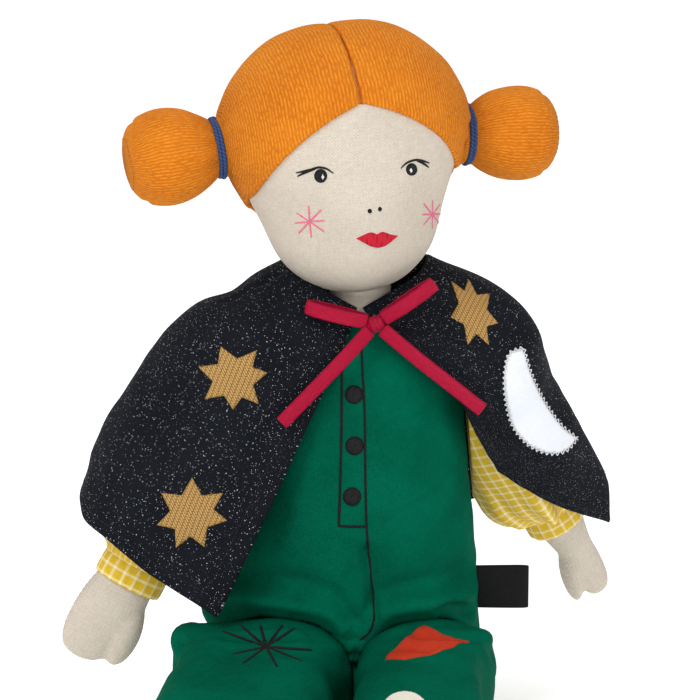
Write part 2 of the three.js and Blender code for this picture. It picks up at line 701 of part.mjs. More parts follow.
// Bow: a knot at the cape's collar with two loops and two tails.
function buildBow() {
  const bow = new THREE.Group();
  bow.position.set(neckX + bowShift, neckY - collarRing - bowStandOff, torsoHeight);
  doll.add(bow);
  const knotHalf = 0.6 * ribbonWidth;
  const knot = ellipsoid([knotHalf, 0.7 * knotHalf, knotHalf], vec(0, 0, 0));
  addPiece(bow, "bow_knot", knot, redSatin);
  const start = knotHalf + clearance;
  for (const { name, loopAim, tailAim } of bowSides) {
    const out = vec(...loopAim).normalize();
    const at = (share, depth) => out.clone().multiplyScalar(share * bowLoop).add(vec(0, depth, 0));
    const gape = 0.5 * ribbonWidth;
    const path = [
      at(start / bowLoop, -0.15 * gape), at(0.45, -gape), at(0.85, -0.8 * gape), at(1, 0),
      at(0.85, 0.8 * gape), at(0.45, gape), at(start / bowLoop, 0.15 * gape + ribbonWall),
    ];
    addPiece(bow, `bow_loop_${name}`, ribbon(path, out.clone().cross(vec(0, 1, 0)), 14), redSatin);
    const down = vec(...tailAim).normalize();
    const fall = (share, swing) => down.clone().multiplyScalar(share * bowTail).add(vec(0, swing, 0));
    const tail = [fall(start / bowTail, 0), fall(0.35, -0.04 * bowTail), fall(0.7, -0.02 * bowTail), fall(1, 0)];
    addPiece(bow, `bow_tail_${name}`, ribbon(tail, down.clone().cross(vec(0, 1, 0)), 8), redSatin);
  }
}

// Side tag: a tape folded in half, its ends in the side seam.
function buildTag() {
  const outline = new THREE.Shape();
  const layer = tagWall + clearance / 2;
  outline.moveTo(0, layer);
  outline.lineTo(0, layer - tagWall);
  outline.lineTo(tagLength - tagWall, layer - tagWall);
  outline.lineTo(tagLength - tagWall, tagWall - layer);
  outline.lineTo(0, tagWall - layer);
  outline.lineTo(0, -layer);
  outline.lineTo(tagLength - tagWall, -layer);
  outline.quadraticCurveTo(tagLength, -layer, tagLength, 0);
  outline.quadraticCurveTo(tagLength, layer, tagLength - tagWall, layer);
  outline.closePath();
  const tape = new THREE.ExtrudeGeometry(outline, { depth: tagWidth, bevelEnabled: false, curveSegments: 3 });
  const x = torsoHalves(tagHeight - tagWidth / 2).width + 2 * clearance;
  tape.translate(x, torsoAxisAt(tagHeight), tagHeight - tagWidth / 2);
  addPiece(doll, "side_tag", solid(tape), blackTape);
}

doll.name = "rag_doll";
buildTorso();
buildNeck();
buildHead();
for (const [name, limb] of Object.entries(limbs)) {
  buildArm(name, limb);
  buildLeg(name, limb);
}
buildCape();
buildBow();
buildTag();

export default doll;
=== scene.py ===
"""Dressed model of a seated rag doll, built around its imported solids.

Sizes are millimetres in the doll's own frame: it faces -Y, its left side is +X, and it sits on z = 0.
Places written as pixels are places in a picture of 700 by 700 seen from the studio camera.
"""

import logging
import math
from dataclasses import dataclass
from enum import Enum
from typing import Any, Callable, Sequence

import bpy
import numpy as np
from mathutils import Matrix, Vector, noise
from mathutils.bvhtree import BVHTree
from mathutils.geometry import delaunay_2d_cdt


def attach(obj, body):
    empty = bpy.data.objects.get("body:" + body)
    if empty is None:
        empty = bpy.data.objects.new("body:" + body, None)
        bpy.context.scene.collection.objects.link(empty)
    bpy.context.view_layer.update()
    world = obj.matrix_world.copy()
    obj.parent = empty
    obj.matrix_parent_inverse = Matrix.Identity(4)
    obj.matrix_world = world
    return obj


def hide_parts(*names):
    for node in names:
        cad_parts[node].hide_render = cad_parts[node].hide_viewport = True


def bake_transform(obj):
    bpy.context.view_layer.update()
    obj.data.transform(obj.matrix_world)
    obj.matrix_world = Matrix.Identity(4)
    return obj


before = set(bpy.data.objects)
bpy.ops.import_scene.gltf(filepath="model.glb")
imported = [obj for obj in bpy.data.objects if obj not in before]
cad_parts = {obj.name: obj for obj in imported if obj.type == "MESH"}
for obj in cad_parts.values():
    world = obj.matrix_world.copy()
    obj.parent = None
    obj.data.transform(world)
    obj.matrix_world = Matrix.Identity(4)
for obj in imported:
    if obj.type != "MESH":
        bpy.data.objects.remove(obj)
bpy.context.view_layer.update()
LOG = logging.getLogger("rag_doll")
MM = 0.001

Array = np.ndarray
Object = bpy.types.Object
Node = bpy.types.Node
Socket = bpy.types.NodeSocket
Point = Sequence[float]
Pair = tuple[float, float]
Triple = tuple[float, float, float]
Pixel = Pair
Colour = tuple[float, float, float, float]


class Side(Enum):
    """The doll's own left and right."""

    LEFT = 1
    RIGHT = -1

    @property
    def label(self) -> str:
        """The side's word in the names of nodes and bodies."""
        return self.name.lower()

    def pick(self, pair: Sequence[Any]) -> Any:
        """This side's one of a pair, which has the left one first."""
        return pair[0 if self is Side.LEFT else 1]

    def at(self, place: Point) -> tuple[float, ...]:
        """The place on this side that matches a place on the left."""
        return (self.value * place[0], *place[1:])


# Curves and directions.


def unit(v: Array) -> Array:
    """Vectors of length one, along the last axis."""
    return v / np.maximum(np.linalg.norm(v, axis=-1, keepdims=True), 1e-9)


def ease(low: float, high: float, x: Array) -> Array:
    """A smooth step from 0 at low to 1 at high."""
    t = np.clip((np.asarray(x, float) - low) / (high - low), 0.0, 1.0)
    return t * t * (3 - 2 * t)


def rgb(code: str) -> Colour:
    """A shader colour from its sRGB code."""
    parts = [int(code[i : i + 2], 16) / 255 for i in (1, 3, 5)]
    return (*(c / 12.92 if c <= 0.04045 else ((c + 0.055) / 1.055) ** 2.4 for c in parts), 1.0)


def catmull(knots: Sequence[Point], count: int) -> Array:
    """A centripetal curve through knots.

    Args:
        knots: the points that it passes, in order.
        count: the number of steps, even between knots.

    Returns:
        count + 1 points on the curve.
    """
    inner = np.asarray(knots, float)
    p = np.concatenate([2 * inner[:1] - inner[1:2], inner, 2 * inner[-1:] - inner[-2:-1]])
    gap = np.maximum(np.linalg.norm(np.diff(p, axis=0), axis=-1, keepdims=True) ** 0.5, 1e-3)
    t = np.linspace(0, len(inner) - 1, count + 1)
    i = np.minimum(t.astype(int), len(inner) - 2)
    f = (t - i)[:, None]
    p0, p1, p2, p3 = p[i], p[i + 1], p[i + 2], p[i + 3]
    d0, d1, d2 = gap[i], gap[i + 1], gap[i + 2]
    a = ((p1 - p0) / d0 - (p2 - p0) / (d0 + d1) + (p2 - p1) / d1) * d1
    b = ((p2 - p1) / d1 - (p3 - p1) / (d1 + d2) + (p3 - p2) / d2) * d1
    return p1 + f * (a + f * ((-3 * p1 + 3 * p2 - 2 * a - b) + f * (2 * p1 - 2 * p2 + a + b)))


def lengths(line: Array) -> Array:
    """The length of a line up to each of its points."""
    return np.concatenate([[0.0], np.cumsum(np.linalg.norm(np.diff(line, axis=0), axis=1))])


def even(line: Array, step: float) -> Array:
    """A line with its points spaced evenly.

    Args:
        line: its points, in order.
        step: about how far apart they come to lie.

    Returns:
        The new points.
    """
    along = lengths(line)
    count = max(int(round(along[-1] / step)), 2)
    at = np.linspace(0, along[-1], count + 1)
    return np.stack([np.interp(at, along, line[:, k]) for k in range(line.shape[1])], 1)


def angles(count: int) -> Array:
    """Even angles round a full turn."""
    return np.arange(count) / count * 2 * math.pi


def over_grid(across: Array, along: Array) -> Array:
    """Places on the flat cloth of a grid, from those across and along it."""
    return np.stack(np.broadcast_arrays(across[None], along[:, None]), 2)


def rounds(*pairs: Pair) -> list[Point]:
    """Stations of round sections, from their places along a form and their radii."""
    return [(place, radius, radius) for place, radius in pairs]


def scaled(shape: Sequence[Point], along: float, wide: float, deep: float) -> list[Point]:
    """Stations of a form, from their shares of its length, width and depth."""
    return [(s * along, w * wide, d * deep) for s, w, d in shape]


def lay_along(aim: Point, hint: Point, twist: float = 0.0) -> Array:
    """The axes of a form laid along an aim.

    Args:
        aim: the direction of its length.
        hint: the direction that its width is kept level with.
        twist: degrees that it then turns about its length.

    Returns:
        A matrix whose columns are its width, depth and length.
    """
    along = unit(np.array(aim, float))
    across = np.array(hint, float)
    across = unit(across - along * (across @ along))
    turn = math.radians(twist)
    across = across * math.cos(turn) + np.cross(along, across) * math.sin(turn)
    return np.stack([across, np.cross(along, across), along], axis=1)


def bumps(points: Array, scale: float, seed: float) -> Array:
    """Soft even noise at points, from -1 to 1.

    Args:
        points: places, in any shape that ends in three numbers.
        scale: the size of a bump in millimetres.
        seed: a shift that makes one noise differ from another.

    Returns:
        One value for each place.
    """
    flat = points.reshape(-1, 3) / scale + seed
    return np.array([noise.noise(Vector(p)) for p in flat]).reshape(points.shape[:-1])


# Nets of cloth, and the meshes made from them.


@dataclass
class Net:
    """A grid of points over a piece of cloth.

    Rows run along the piece and columns across it, or round it where closed is set. The cloth places are
    millimetres on the flat cloth, with one column more than the points where it is closed.
    """

    points: Array
    cloth: Array
    closed: bool = False

    def normals(self) -> Array:
        """Unit normals out of the cloth, shared round a row that closes to a point.

        Returns:
            One normal for each point.
        """
        p = self.points
        if self.closed:
            across = np.roll(p, -1, axis=1) - np.roll(p, 1, axis=1)
        else:
            across = np.gradient(p, axis=1)
        n = np.cross(across, np.gradient(p, axis=0))
        flat = np.linalg.norm(n, axis=-1) < 1e-6
        for row in (0, -1):
            if flat[row].any():
                n[row] = unit(n[1 if row == 0 else -2]).mean(0)
        return unit(n)

    def swell(self, amount: Array) -> "Net":
        """Moves each point out by an amount, and returns the net."""
        self.points = self.points + np.asarray(amount)[..., None] * self.normals()
        return self

    def seen(self, pixel: Pixel) -> Array:
        """The point of the net that a pixel of the picture shows.

        Args:
            pixel: a place in the picture.

        Returns:
            The point that lies nearest to the pixel's ray, on the side towards the camera.
        """
        places, ray = self.points.reshape(-1, 3), VIEW.ray(pixel)
        away = places - VIEW.eye()
        depth = away @ ray
        off = np.linalg.norm(away - depth[:, None] * ray, axis=1)
        return places[np.argmin(OFF_WEIGHT * off + depth)]

    def seen_line(self, pixels: Sequence[Pixel]) -> tuple[Array, ...]:
        """The points of the net that pixels of the picture show."""
        return tuple(self.seen(p) for p in pixels)

    def placed(self, axes: Array, origin: Point) -> "Net":
        """The net turned to axes and moved to an origin."""
        return Net(self.points @ axes.T + np.array(origin, float), self.cloth, self.closed)


@dataclass(frozen=True)
class Crease:
    """A fold pressed into cloth along a line, with a low ridge on each side."""

    line: tuple[Point, ...]
    depth: float
    width: float
    ridge: float = 0.25

    def press(self, net: Net) -> None:
        """Presses the fold into a net.

        Args:
            net: the cloth, which is changed.
        """
        path = even(catmull(self.line, 12 * len(self.line)), self.width / 3)
        places = net.points.reshape(-1, 1, 3)
        away = np.linalg.norm(places - path[None], axis=2).min(1).reshape(net.points.shape[:2])
        groove = np.exp(-((away / self.width) ** 2))
        rim = np.exp(-(((away - 2.1 * self.width) / self.width) ** 2))
        net.swell(self.depth * (self.ridge * rim - groove))


def tube_net(stations: Sequence[Point], rows: int, cols: int, square: float = 2.0) -> Net:
    """A closed net over a form along +Z.

    Args:
        stations: (along, half-width, half-depth) from one end to the other.
        rows: steps along the form.
        cols: points round it.
        square: 2 for round sections, more for squarer ones.

    Returns:
        The net in the form's own frame.
    """
    curve = catmull(np.array(stations, float)[:, [1, 2, 0]], rows)
    halves = np.maximum(curve[:, :2], 0.0)
    angle = angles(cols)
    c, s = (np.sign(x) * np.abs(x) ** (2 / square) for x in (np.cos(angle), np.sin(angle)))
    x, y = halves[:, :1] * c, halves[:, 1:] * s
    z = np.repeat(curve[:, 2:], cols, axis=1)
    u = np.arange(cols + 1) / cols * 2 * math.pi * np.sqrt(halves[:, 0] * halves[:, 1]).max()
    return Net(np.stack([x, y, z], 2), over_grid(u, lengths(curve)), True)


def sheet_cloth(points: Array) -> Array:
    """Places on the flat cloth of an open grid, from its lengths both ways.

    Args:
        points: the grid.

    Returns:
        One place for each point.
    """
    u = np.linalg.norm(np.diff(points, axis=1, prepend=points[:, :1]), axis=2).cumsum(1)
    v = np.linalg.norm(np.diff(points, axis=0, prepend=points[:1]), axis=2).cumsum(0)
    return np.stack([u, v], 2)


class Work:
    """Gathers the faces of one sewn piece, and makes its object."""

    def __init__(self) -> None:
        """Starts with no faces."""
        self.points: list[Point] = []
        self.faces: list[list[int]] = []
        self.corners: list[Point] = []

    def add(self, points: Array, faces: Sequence[Sequence[int]], cloth: Array) -> None:
        """Adds faces whose points have one cloth place each.

        Args:
            points: the new points.
            faces: lists of their numbers.
            cloth: the cloth place of each point.
        """
        start = len(self.points)
        self.points.extend(points)
        for face in faces:
            self.faces.append([start + i for i in face])
            self.corners.extend(cloth[i] for i in face)

    def quad(self, corners: Sequence[int], places: Sequence[Point]) -> None:
        """Adds one face over points that are there, leaving out a corner that repeats.

        Args:
            corners: the numbers of its four points.
            places: their places on the cloth.
        """
        keep = [k for k in range(4) if corners[k] not in corners[:k]]
        if len(keep) > 2:
            self.faces.append([int(corners[k]) for k in keep])
            self.corners.extend(places[k] for k in keep)

    def net(self, net: Net, wall: float = 0.0) -> "Work":
        """Adds a net, as one skin or as cloth with a wall and rounded edges.

        Args:
            net: the outer side of the cloth.
            wall: its thickness, or 0 for one skin.

        Returns:
            The same work.
        """
        rows, cols = net.points.shape[:2]
        layers = [net.points] if wall == 0 else [net.points, net.points - wall * net.normals()]
        pole = [np.ptp(row, axis=0).max() < 1e-6 for row in net.points]
        ids = np.empty((len(layers), rows, cols), int)
        for k, layer in enumerate(layers):
            for r in range(rows):
                ids[k, r] = len(self.points) + (np.zeros(cols, int) if pole[r] else np.arange(cols))
                self.points.extend(layer[r].mean(0, keepdims=True) if pole[r] else layer[r])
        last = cols if net.closed else cols - 1
        uv = net.cloth
        for k in range(len(layers)):
            for r in range(rows - 1):
                for c in range(last):
                    n = (c + 1) % cols
                    face = [ids[k, r, c], ids[k, r, n], ids[k, r + 1, n], ids[k, r + 1, c]]
                    place = [uv[r, c], uv[r, c + 1], uv[r + 1, c + 1], uv[r + 1, c]]
                    self.quad(face[::-1] if k else face, place[::-1] if k else place)
        if wall:
            for loop in self._rims(net, pole):
                self._rim(loop, ids, net, layers, wall)
        return self

    @staticmethod
    def _rims(net: Net, pole: list[bool]) -> list[list[tuple[int, int, int, int]]]:
        """The open edges of a net.

        Args:
            net: the net.
            pole: which of its rows close to a point.

        Returns:
            Loops of (row, column, inner row, inner column).
        """
        rows, cols = net.points.shape[:2]
        first = [(0, c, 1, c) for c in range(cols)]
        last = [(rows - 1, c, rows - 2, c) for c in range(cols)][::-1]
        if net.closed:
            return [e for e, shut in ((first, pole[0]), (last, pole[-1])) if not shut]
        right = [(r, cols - 1, r, cols - 2) for r in range(1, rows - 1)]
        left = [(r, 0, r, 1) for r in range(rows - 2, 0, -1)]
        return [first + right + last + left]

    def _rim(self, loop: list, ids: Array, net: Net, layers: list[Array], wall: float) -> None:
        """Closes one open edge with a rounded rim.

        Args:
            loop: the edge's places in the net.
            ids: the numbers of both sides' points.
            net: the net.
            layers: both sides' points.
            wall: the cloth's thickness.
        """
        out = np.array([unit(net.points[r, c] - net.points[i, j]) for r, c, i, j in loop])
        mid = np.array([(layers[0][r, c] + layers[1][r, c]) / 2 for r, c, _, _ in loop])
        start = len(self.points)
        self.points.extend(mid + 0.5 * wall * out)
        count = len(loop)
        for k, (r, c, _, _) in enumerate(loop):
            n = (k + 1) % count
            rn, cn = loop[n][:2]
            place = [net.cloth[rn, cn], net.cloth[r, c], net.cloth[r, c], net.cloth[rn, cn]]
            self.quad([ids[0, rn, cn], ids[0, r, c], start + k, start + n], place)
            self.quad([start + n, start + k, ids[1, r, c], ids[1, rn, cn]], place)

    def tube(self, line: Array, up: Array, width: Array, height: Array, sides: int = 8) -> None:
        """Adds a flattened tube with shut, rounded ends.

        Args:
            line: its centre line.
            up: the way its height points, at each place of the line.
            width: its width at each place.
            height: its height at each place.
            sides: points round it.
        """
        along = unit(np.gradient(line, axis=0))
        across = unit(np.cross(along, up))
        lift = unit(np.cross(across, along))
        angle = angles(sides)
        ring = (
            across[:, None] * (np.cos(angle)[None, :, None] * width[:, None, None] / 2)
            + lift[:, None] * (np.sin(angle)[None, :, None] * height[:, None, None] / 2)
        )
        body = line[:, None] + ring
        tip = [line[:1] - along[:1] * width[0] / 3, line[-1:] + along[-1:] * width[-1] / 3]
        points = np.concatenate([np.repeat(tip[0][None], sides, 1), body, np.repeat(tip[1][None], sides, 1)])
        u = np.arange(sides + 1) / sides * float(np.mean(width)) * 2.2
        self.net(Net(points[:, ::-1], over_grid(u, lengths(points[:, 0])), True))

    def make(self, name: str) -> Object:
        """The gathered faces as a smooth object in the scene.

        Args:
            name: the piece's name.

        Returns:
            The object, at the origin.
        """
        mesh = bpy.data.meshes.new(name)
        mesh.from_pydata((np.array(self.points, float) * MM).tolist(), [], self.faces)
        layer = mesh.uv_layers.new(name="cloth")
        layer.data.foreach_set("uv", np.array(self.corners, np.float32).ravel())
        mesh.polygons.foreach_set("use_smooth", np.ones(len(mesh.polygons), bool))
        mesh.validate()
        mesh.update()
        obj = bpy.data.objects.new(name, mesh)
        bpy.context.scene.collection.objects.link(obj)
        return obj


def fused(name: str, nets: Sequence[Net], voxel: float, rounds: int) -> Object:
    """Several stuffed forms sewn into one skin.

    Args:
        name: the piece's name.
        nets: closed forms that run into each other.
        voxel: the size of the new skin's faces.
        rounds: how often the skin is smoothed where the forms meet.

    Returns:
        The object, with cloth places still to be set.
    """
    work = Work()
    for net in nets:
        work.net(net)
    obj = work.make(name)
    remesh = obj.modifiers.new("skin", "REMESH")
    remesh.mode = "VOXEL"
    remesh.voxel_size = voxel * MM
    soften = obj.modifiers.new("soften", "SMOOTH")
    soften.factor = 0.5
    soften.iterations = rounds
    graph = bpy.context.evaluated_depsgraph_get()
    made = bpy.data.meshes.new_from_object(obj.evaluated_get(graph))
    old = obj.data
    obj.modifiers.clear()
    obj.data = made
    made.name = name
    bpy.data.meshes.remove(old)
    made.polygons.foreach_set("use_smooth", np.ones(len(made.polygons), bool))
    return obj


def set_cloth(obj: Object, place: Callable[[Array], Array]) -> None:
    """Gives an object cloth places worked out from its points.

    Args:
        obj: the object.
        place: turns points in millimetres into cloth places.
    """
    mesh = obj.data
    layer = mesh.uv_layers.get("cloth") or mesh.uv_layers.new(name="cloth")
    points = np.empty(len(mesh.vertices) * 3)
    mesh.vertices.foreach_get("co", points)
    corner = np.empty(len(mesh.loops), int)
    mesh.loops.foreach_get("vertex_index", corner)
    cloth = place(points.reshape(-1, 3) / MM)
    layer.data.foreach_set("uv", cloth[corner].astype(np.float32).ravel())


# The studio's camera, and places seen from it.


@dataclass(frozen=True)
class Viewpoint:
    """The camera, and the place of each pixel of its picture."""

    frame: float = 700.0
    span: float = 294.0
    distance: float = 1250.0
    elevation: float = 14.0
    sensor: float = 36.0
    aim: Triple = (-2.1, 0.0, 166.6)

    def axes(self) -> tuple[Array, Array, Array]:
        """The camera's directions.

        Returns:
            Right, up and backward.
        """
        e = math.radians(self.elevation)
        back = np.array([0.0, -math.cos(e), math.sin(e)])
        right = np.array([1.0, 0.0, 0.0])
        return right, np.cross(back, right), back

    def eye(self) -> Array:
        """The camera's place."""
        return np.array(self.aim) + self.distance * self.axes()[2]

    def ray(self, pixel: Pixel) -> Array:
        """The direction in which a pixel looks.

        Args:
            pixel: a place in the picture.

        Returns:
            A vector of length one.
        """
        right, up, back = self.axes()
        scale = self.span / self.frame
        x, y = (pixel[0] - self.frame / 2) * scale, (self.frame / 2 - pixel[1]) * scale
        return unit(right * x + up * y - back * self.distance)

    def make(self) -> None:
        """Puts the camera in the scene."""
        data = bpy.data.cameras.new("studio_camera")
        data.sensor_width = self.sensor
        data.lens = self.sensor * self.distance / self.span
        data.clip_start, data.clip_end = 0.01, 50.0
        camera = bpy.data.objects.new("studio_camera", data)
        bpy.context.scene.collection.objects.link(camera)
        camera.location = Vector(self.eye() * MM)
        camera.rotation_mode = "QUATERNION"
        camera.rotation_quaternion = Vector(-self.axes()[2]).to_track_quat("-Z", "Y")
        bpy.context.scene.camera = camera


VIEW = Viewpoint()
# How much more a distance off a pixel's ray counts than one along it.
OFF_WEIGHT = 6.0


def apart(found: Sequence[tuple[Array, Array]]) -> tuple[Array, Array]:
    """Found places, and the normals there, as two arrays."""
    return np.array([f[0] for f in found]), np.array([f[1] for f in found])


class Carrier:
    """A piece that carries stitches, and finds the places on it."""

    def __init__(self, obj: Object) -> None:
        """Keeps the piece's surface at rest."""
        points = [tuple(v.co / MM) for v in obj.data.vertices]
        self.tree = BVHTree.FromPolygons(points, [tuple(p.vertices) for p in obj.data.polygons])

    def nearest(self, point: Point) -> tuple[Array, Array]:
        """The nearest place on the piece, and its normal."""
        hit, normal, _, _ = self.tree.find_nearest(Vector(point))
        return np.array(hit), np.array(normal)

    def seen(self, pixel: Pixel) -> tuple[Array, Array]:
        """The place on the piece that a pixel shows, and its normal there.

        Args:
            pixel: a place in the picture.

        Returns:
            The place and the normal. A pixel that misses the piece gives the place nearest to its ray.
        """
        eye, ray = VIEW.eye(), VIEW.ray(pixel)
        hit, normal, _, _ = self.tree.ray_cast(Vector(eye), Vector(ray))
        if hit is not None:
            return np.array(hit), np.array(normal)
        tries = [eye + ray * d for d in np.arange(VIEW.distance - 300, VIEW.distance + 200, 4.0)]
        near = min(tries, key=lambda p: self.tree.find_nearest(Vector(p))[3])
        return self.nearest(near)

    def under(self, point: Array, normal: Array) -> tuple[Array, Array]:
        """The place on the piece below a point, against a normal."""
        hit, found, _, _ = self.tree.ray_cast(Vector(point + 12 * normal), Vector(-normal), 30.0)
        return self.nearest(point) if hit is None else (np.array(hit), np.array(found))

    def trace(self, pixels: Sequence[Pixel], step: float, bend: bool = True) -> tuple[Array, Array]:
        """A line on the piece that follows pixels.

        Args:
            pixels: places in the picture, in order.
            step: the distance between its points.
            bend: whether it curves smoothly through the pixels.

        Returns:
            Its places and normals.
        """
        path = catmull(pixels, 8 * len(pixels)) if bend and len(pixels) > 2 else np.array(pixels, float)
        path = even(path, step / (VIEW.span / VIEW.frame))
        return apart([self.seen((x, y)) for x, y in path])


class Needle:
    """Embroiders one piece: threads, filled shapes and rows of stitches, all in one mesh."""

    def __init__(self, carrier: Carrier | None = None) -> None:
        """Threads the needle for a carrier, or for lines that have their places."""
        self.carrier = carrier
        self.work = Work()

    def lay(self, line: Array, normals: Array, width: float, height: float, taper: float = 0.0) -> None:
        """Lays one thread along a line on the carrier.

        Args:
            line: places on the carrier.
            normals: its normals there.
            width: the thread's width.
            height: how far it stands up.
            taper: the share of its width that it loses towards its ends.
        """
        t = np.linspace(-1, 1, len(line))
        thin = 1 - taper * np.abs(t) ** 3
        self.work.tube(line + 0.12 * height * normals, normals, width * thin, height * thin)

    def draw(self, pixels: Sequence[Pixel], width: float, height: float, taper: float = 0.0) -> None:
        """Lays one thread through pixels of the picture."""
        self.lay(*self.carrier.trace(pixels, 0.6), width, height, taper)

    def rays(
        self, middle: Pixel, ends: Sequence[Pixel], width: float, height: float, taper: float
    ) -> "Needle":
        """Lays a thread from a middle to each of some ends, and returns the needle."""
        for end in ends:
            self.draw((middle, end), width, height, taper)
        return self

    def run(self, line: Array, normals: Array, stitch: float, gap: float, width: float) -> "Needle":
        """Sews a row of small stitches along a line on the carrier.

        Args:
            line: places on the carrier, in order.
            normals: its normals there.
            stitch: the length of a stitch.
            gap: the cloth between two stitches.
            width: the thread's width.

        Returns:
            The same needle.
        """
        both = even(np.concatenate([line, normals], 1), (stitch + gap) / 4)
        for k in range(0, len(both) - 4, 4):
            part = both[k : k + 4]
            self.lay(part[:, :3], unit(part[:, 3:]), width, 0.75 * width, 0.35)
        return self

    def ring(self, net: Net, row: int, stitch: float, gap: float, width: float) -> "Needle":
        """Sews a row of small stitches round a closed net, and returns the needle."""
        line, out = net.points[row], net.normals()[row]
        return self.run(np.concatenate([line, line[:1]]), np.concatenate([out, out[:1]]), stitch, gap, width)

    def sew(self, name: str, finish: "Finish", hold: "Hold") -> None:
        """Makes one piece of what was stitched, and dresses it."""
        dress(self.work.make(name), finish, hold)

    def fill(self, outline: Sequence[Pixel], height: float, grain: float, roll: float = 0.8) -> "Needle":
        """Fills a shape with satin stitch or cloth.

        Args:
            outline: the pixels of its outline.
            height: how far its middle stands up.
            grain: the direction of its stitches in degrees, 0 for level.
            roll: the width over which its edge rounds off.

        Returns:
            The same needle.
        """
        found, normals = apart([self.carrier.seen(p) for p in outline])
        normal = unit(np.mean(normals, 0))
        middle, _ = self.carrier.under(np.mean(found, 0), normal)
        right = unit(VIEW.axes()[0] - normal * (VIEW.axes()[0] @ normal))
        up = np.cross(normal, right)
        flat = np.array([[(f - middle) @ right, (f - middle) @ up] for f in found])
        edge = even(np.concatenate([flat, flat[:1]]), 0.45)[:-1]
        low, high = edge.min(0), edge.max(0)
        step = max(0.55, float((high - low).max()) / 44)
        grid = np.stack(np.meshgrid(*(np.arange(a + step / 2, b, step) for a, b in zip(low, high))), -1)
        grid = grid.reshape(-1, 2)
        ends = np.roll(edge, -1, axis=0)
        grid = grid[inside(grid, edge)]
        grid = grid[distance_to(grid, edge, ends) > 0.4 * step]
        places = np.concatenate([edge, grid])
        made = delaunay_2d_cdt([Vector(p) for p in places], [], [list(range(len(edge)))], 1, 1e-5)
        at = np.array([tuple(v) for v in made[0]])
        rise = np.minimum(distance_to(at, edge, ends) / roll, 1.0)
        rise = height * np.sqrt(np.maximum(1 - (1 - rise) ** 2, 0.0))
        spot, out = apart([self.carrier.under(middle + right * x + up * y, normal) for x, y in at])
        top = spot + out * (0.06 + rise)[:, None]
        foot = spot - out * 0.35
        angle = math.radians(grain)
        turn = np.array([[math.cos(angle), -math.sin(angle)], [math.sin(angle), math.cos(angle)]])
        cloth = at @ turn
        count = len(at)
        faces = [list(f) for f in made[2]]
        shut = [[count + i for i in reversed(f)] for f in faces]
        number = {i: k for k, inputs in enumerate(made[3]) for i in inputs}
        ring = [number[i] for i in range(len(edge))]
        sense = 1 if signed_area(edge) > 0 else -1
        for a, b in zip(ring, ring[1:] + ring[:1]):
            rim = [b, a, count + a, count + b]
            shut.append(rim if sense > 0 else rim[::-1])
        self.work.add(np.concatenate([top, foot]), faces + shut, np.concatenate([cloth, cloth]))
        return self


def signed_area(edge: Array) -> float:
    """The area inside an outline, below zero where it runs clockwise."""
    ahead = np.roll(edge, -1, axis=0)
    return float((edge[:, 0] * ahead[:, 1] - ahead[:, 0] * edge[:, 1]).sum() / 2)


def inside(places: Array, edge: Array) -> Array:
    """Which places lie inside an outline.

    Args:
        places: flat places.
        edge: the outline's corners, in order.

    Returns:
        True or False for each place.
    """
    x, y = places[:, :1], places[:, 1:]
    a, b = edge, np.roll(edge, -1, axis=0)
    crosses = (a[:, 1] > y) != (b[:, 1] > y)
    rise = np.where(np.abs(b[:, 1] - a[:, 1]) < 1e-12, 1e-12, b[:, 1] - a[:, 1])
    return (crosses & (x < (b[:, 0] - a[:, 0]) * (y - a[:, 1]) / rise + a[:, 0])).sum(1) % 2 == 1


def distance_to(places: Array, starts: Array, ends: Array) -> Array:
    """How far places lie from some straight lines.

    Args:
        places: flat places.
        starts: where each line starts.
        ends: where it ends.

    Returns:
        The distance from each place to the nearest line.
    """
    d = ends - starts
    share = ((places[:, None] - starts) * d).sum(2) / np.maximum((d * d).sum(1), 1e-12)
    nearest = starts + np.clip(share, 0, 1)[..., None] * d
    return np.linalg.norm(places[:, None] - nearest, axis=2).min(1)


def star(tips: Sequence[Pixel], notch: float) -> list[Pixel]:
    """The outline of a star.

    Args:
        tips: its points, in order round it.
        notch: how far in the corners between them lie, as a share.

    Returns:
        The outline's pixels.
    """
    points = np.array(tips, float)
    middle = points.mean(0)
    outline: list[Pixel] = []
    for a, b in zip(points, np.roll(points, -1, axis=0)):
        dent = middle + ((a + b) / 2 - middle) * notch
        outline += [tuple(a), tuple(dent)]
    return outline


def oval(middle: Pixel, halves: Pixel, count: int = 20) -> list[Pixel]:
    """The outline of an oval in the picture."""
    turns = np.arange(count) / count * 2 * math.pi
    return [(middle[0] + halves[0] * math.cos(t), middle[1] + halves[1] * math.sin(t)) for t in turns]


# Shader nodes.


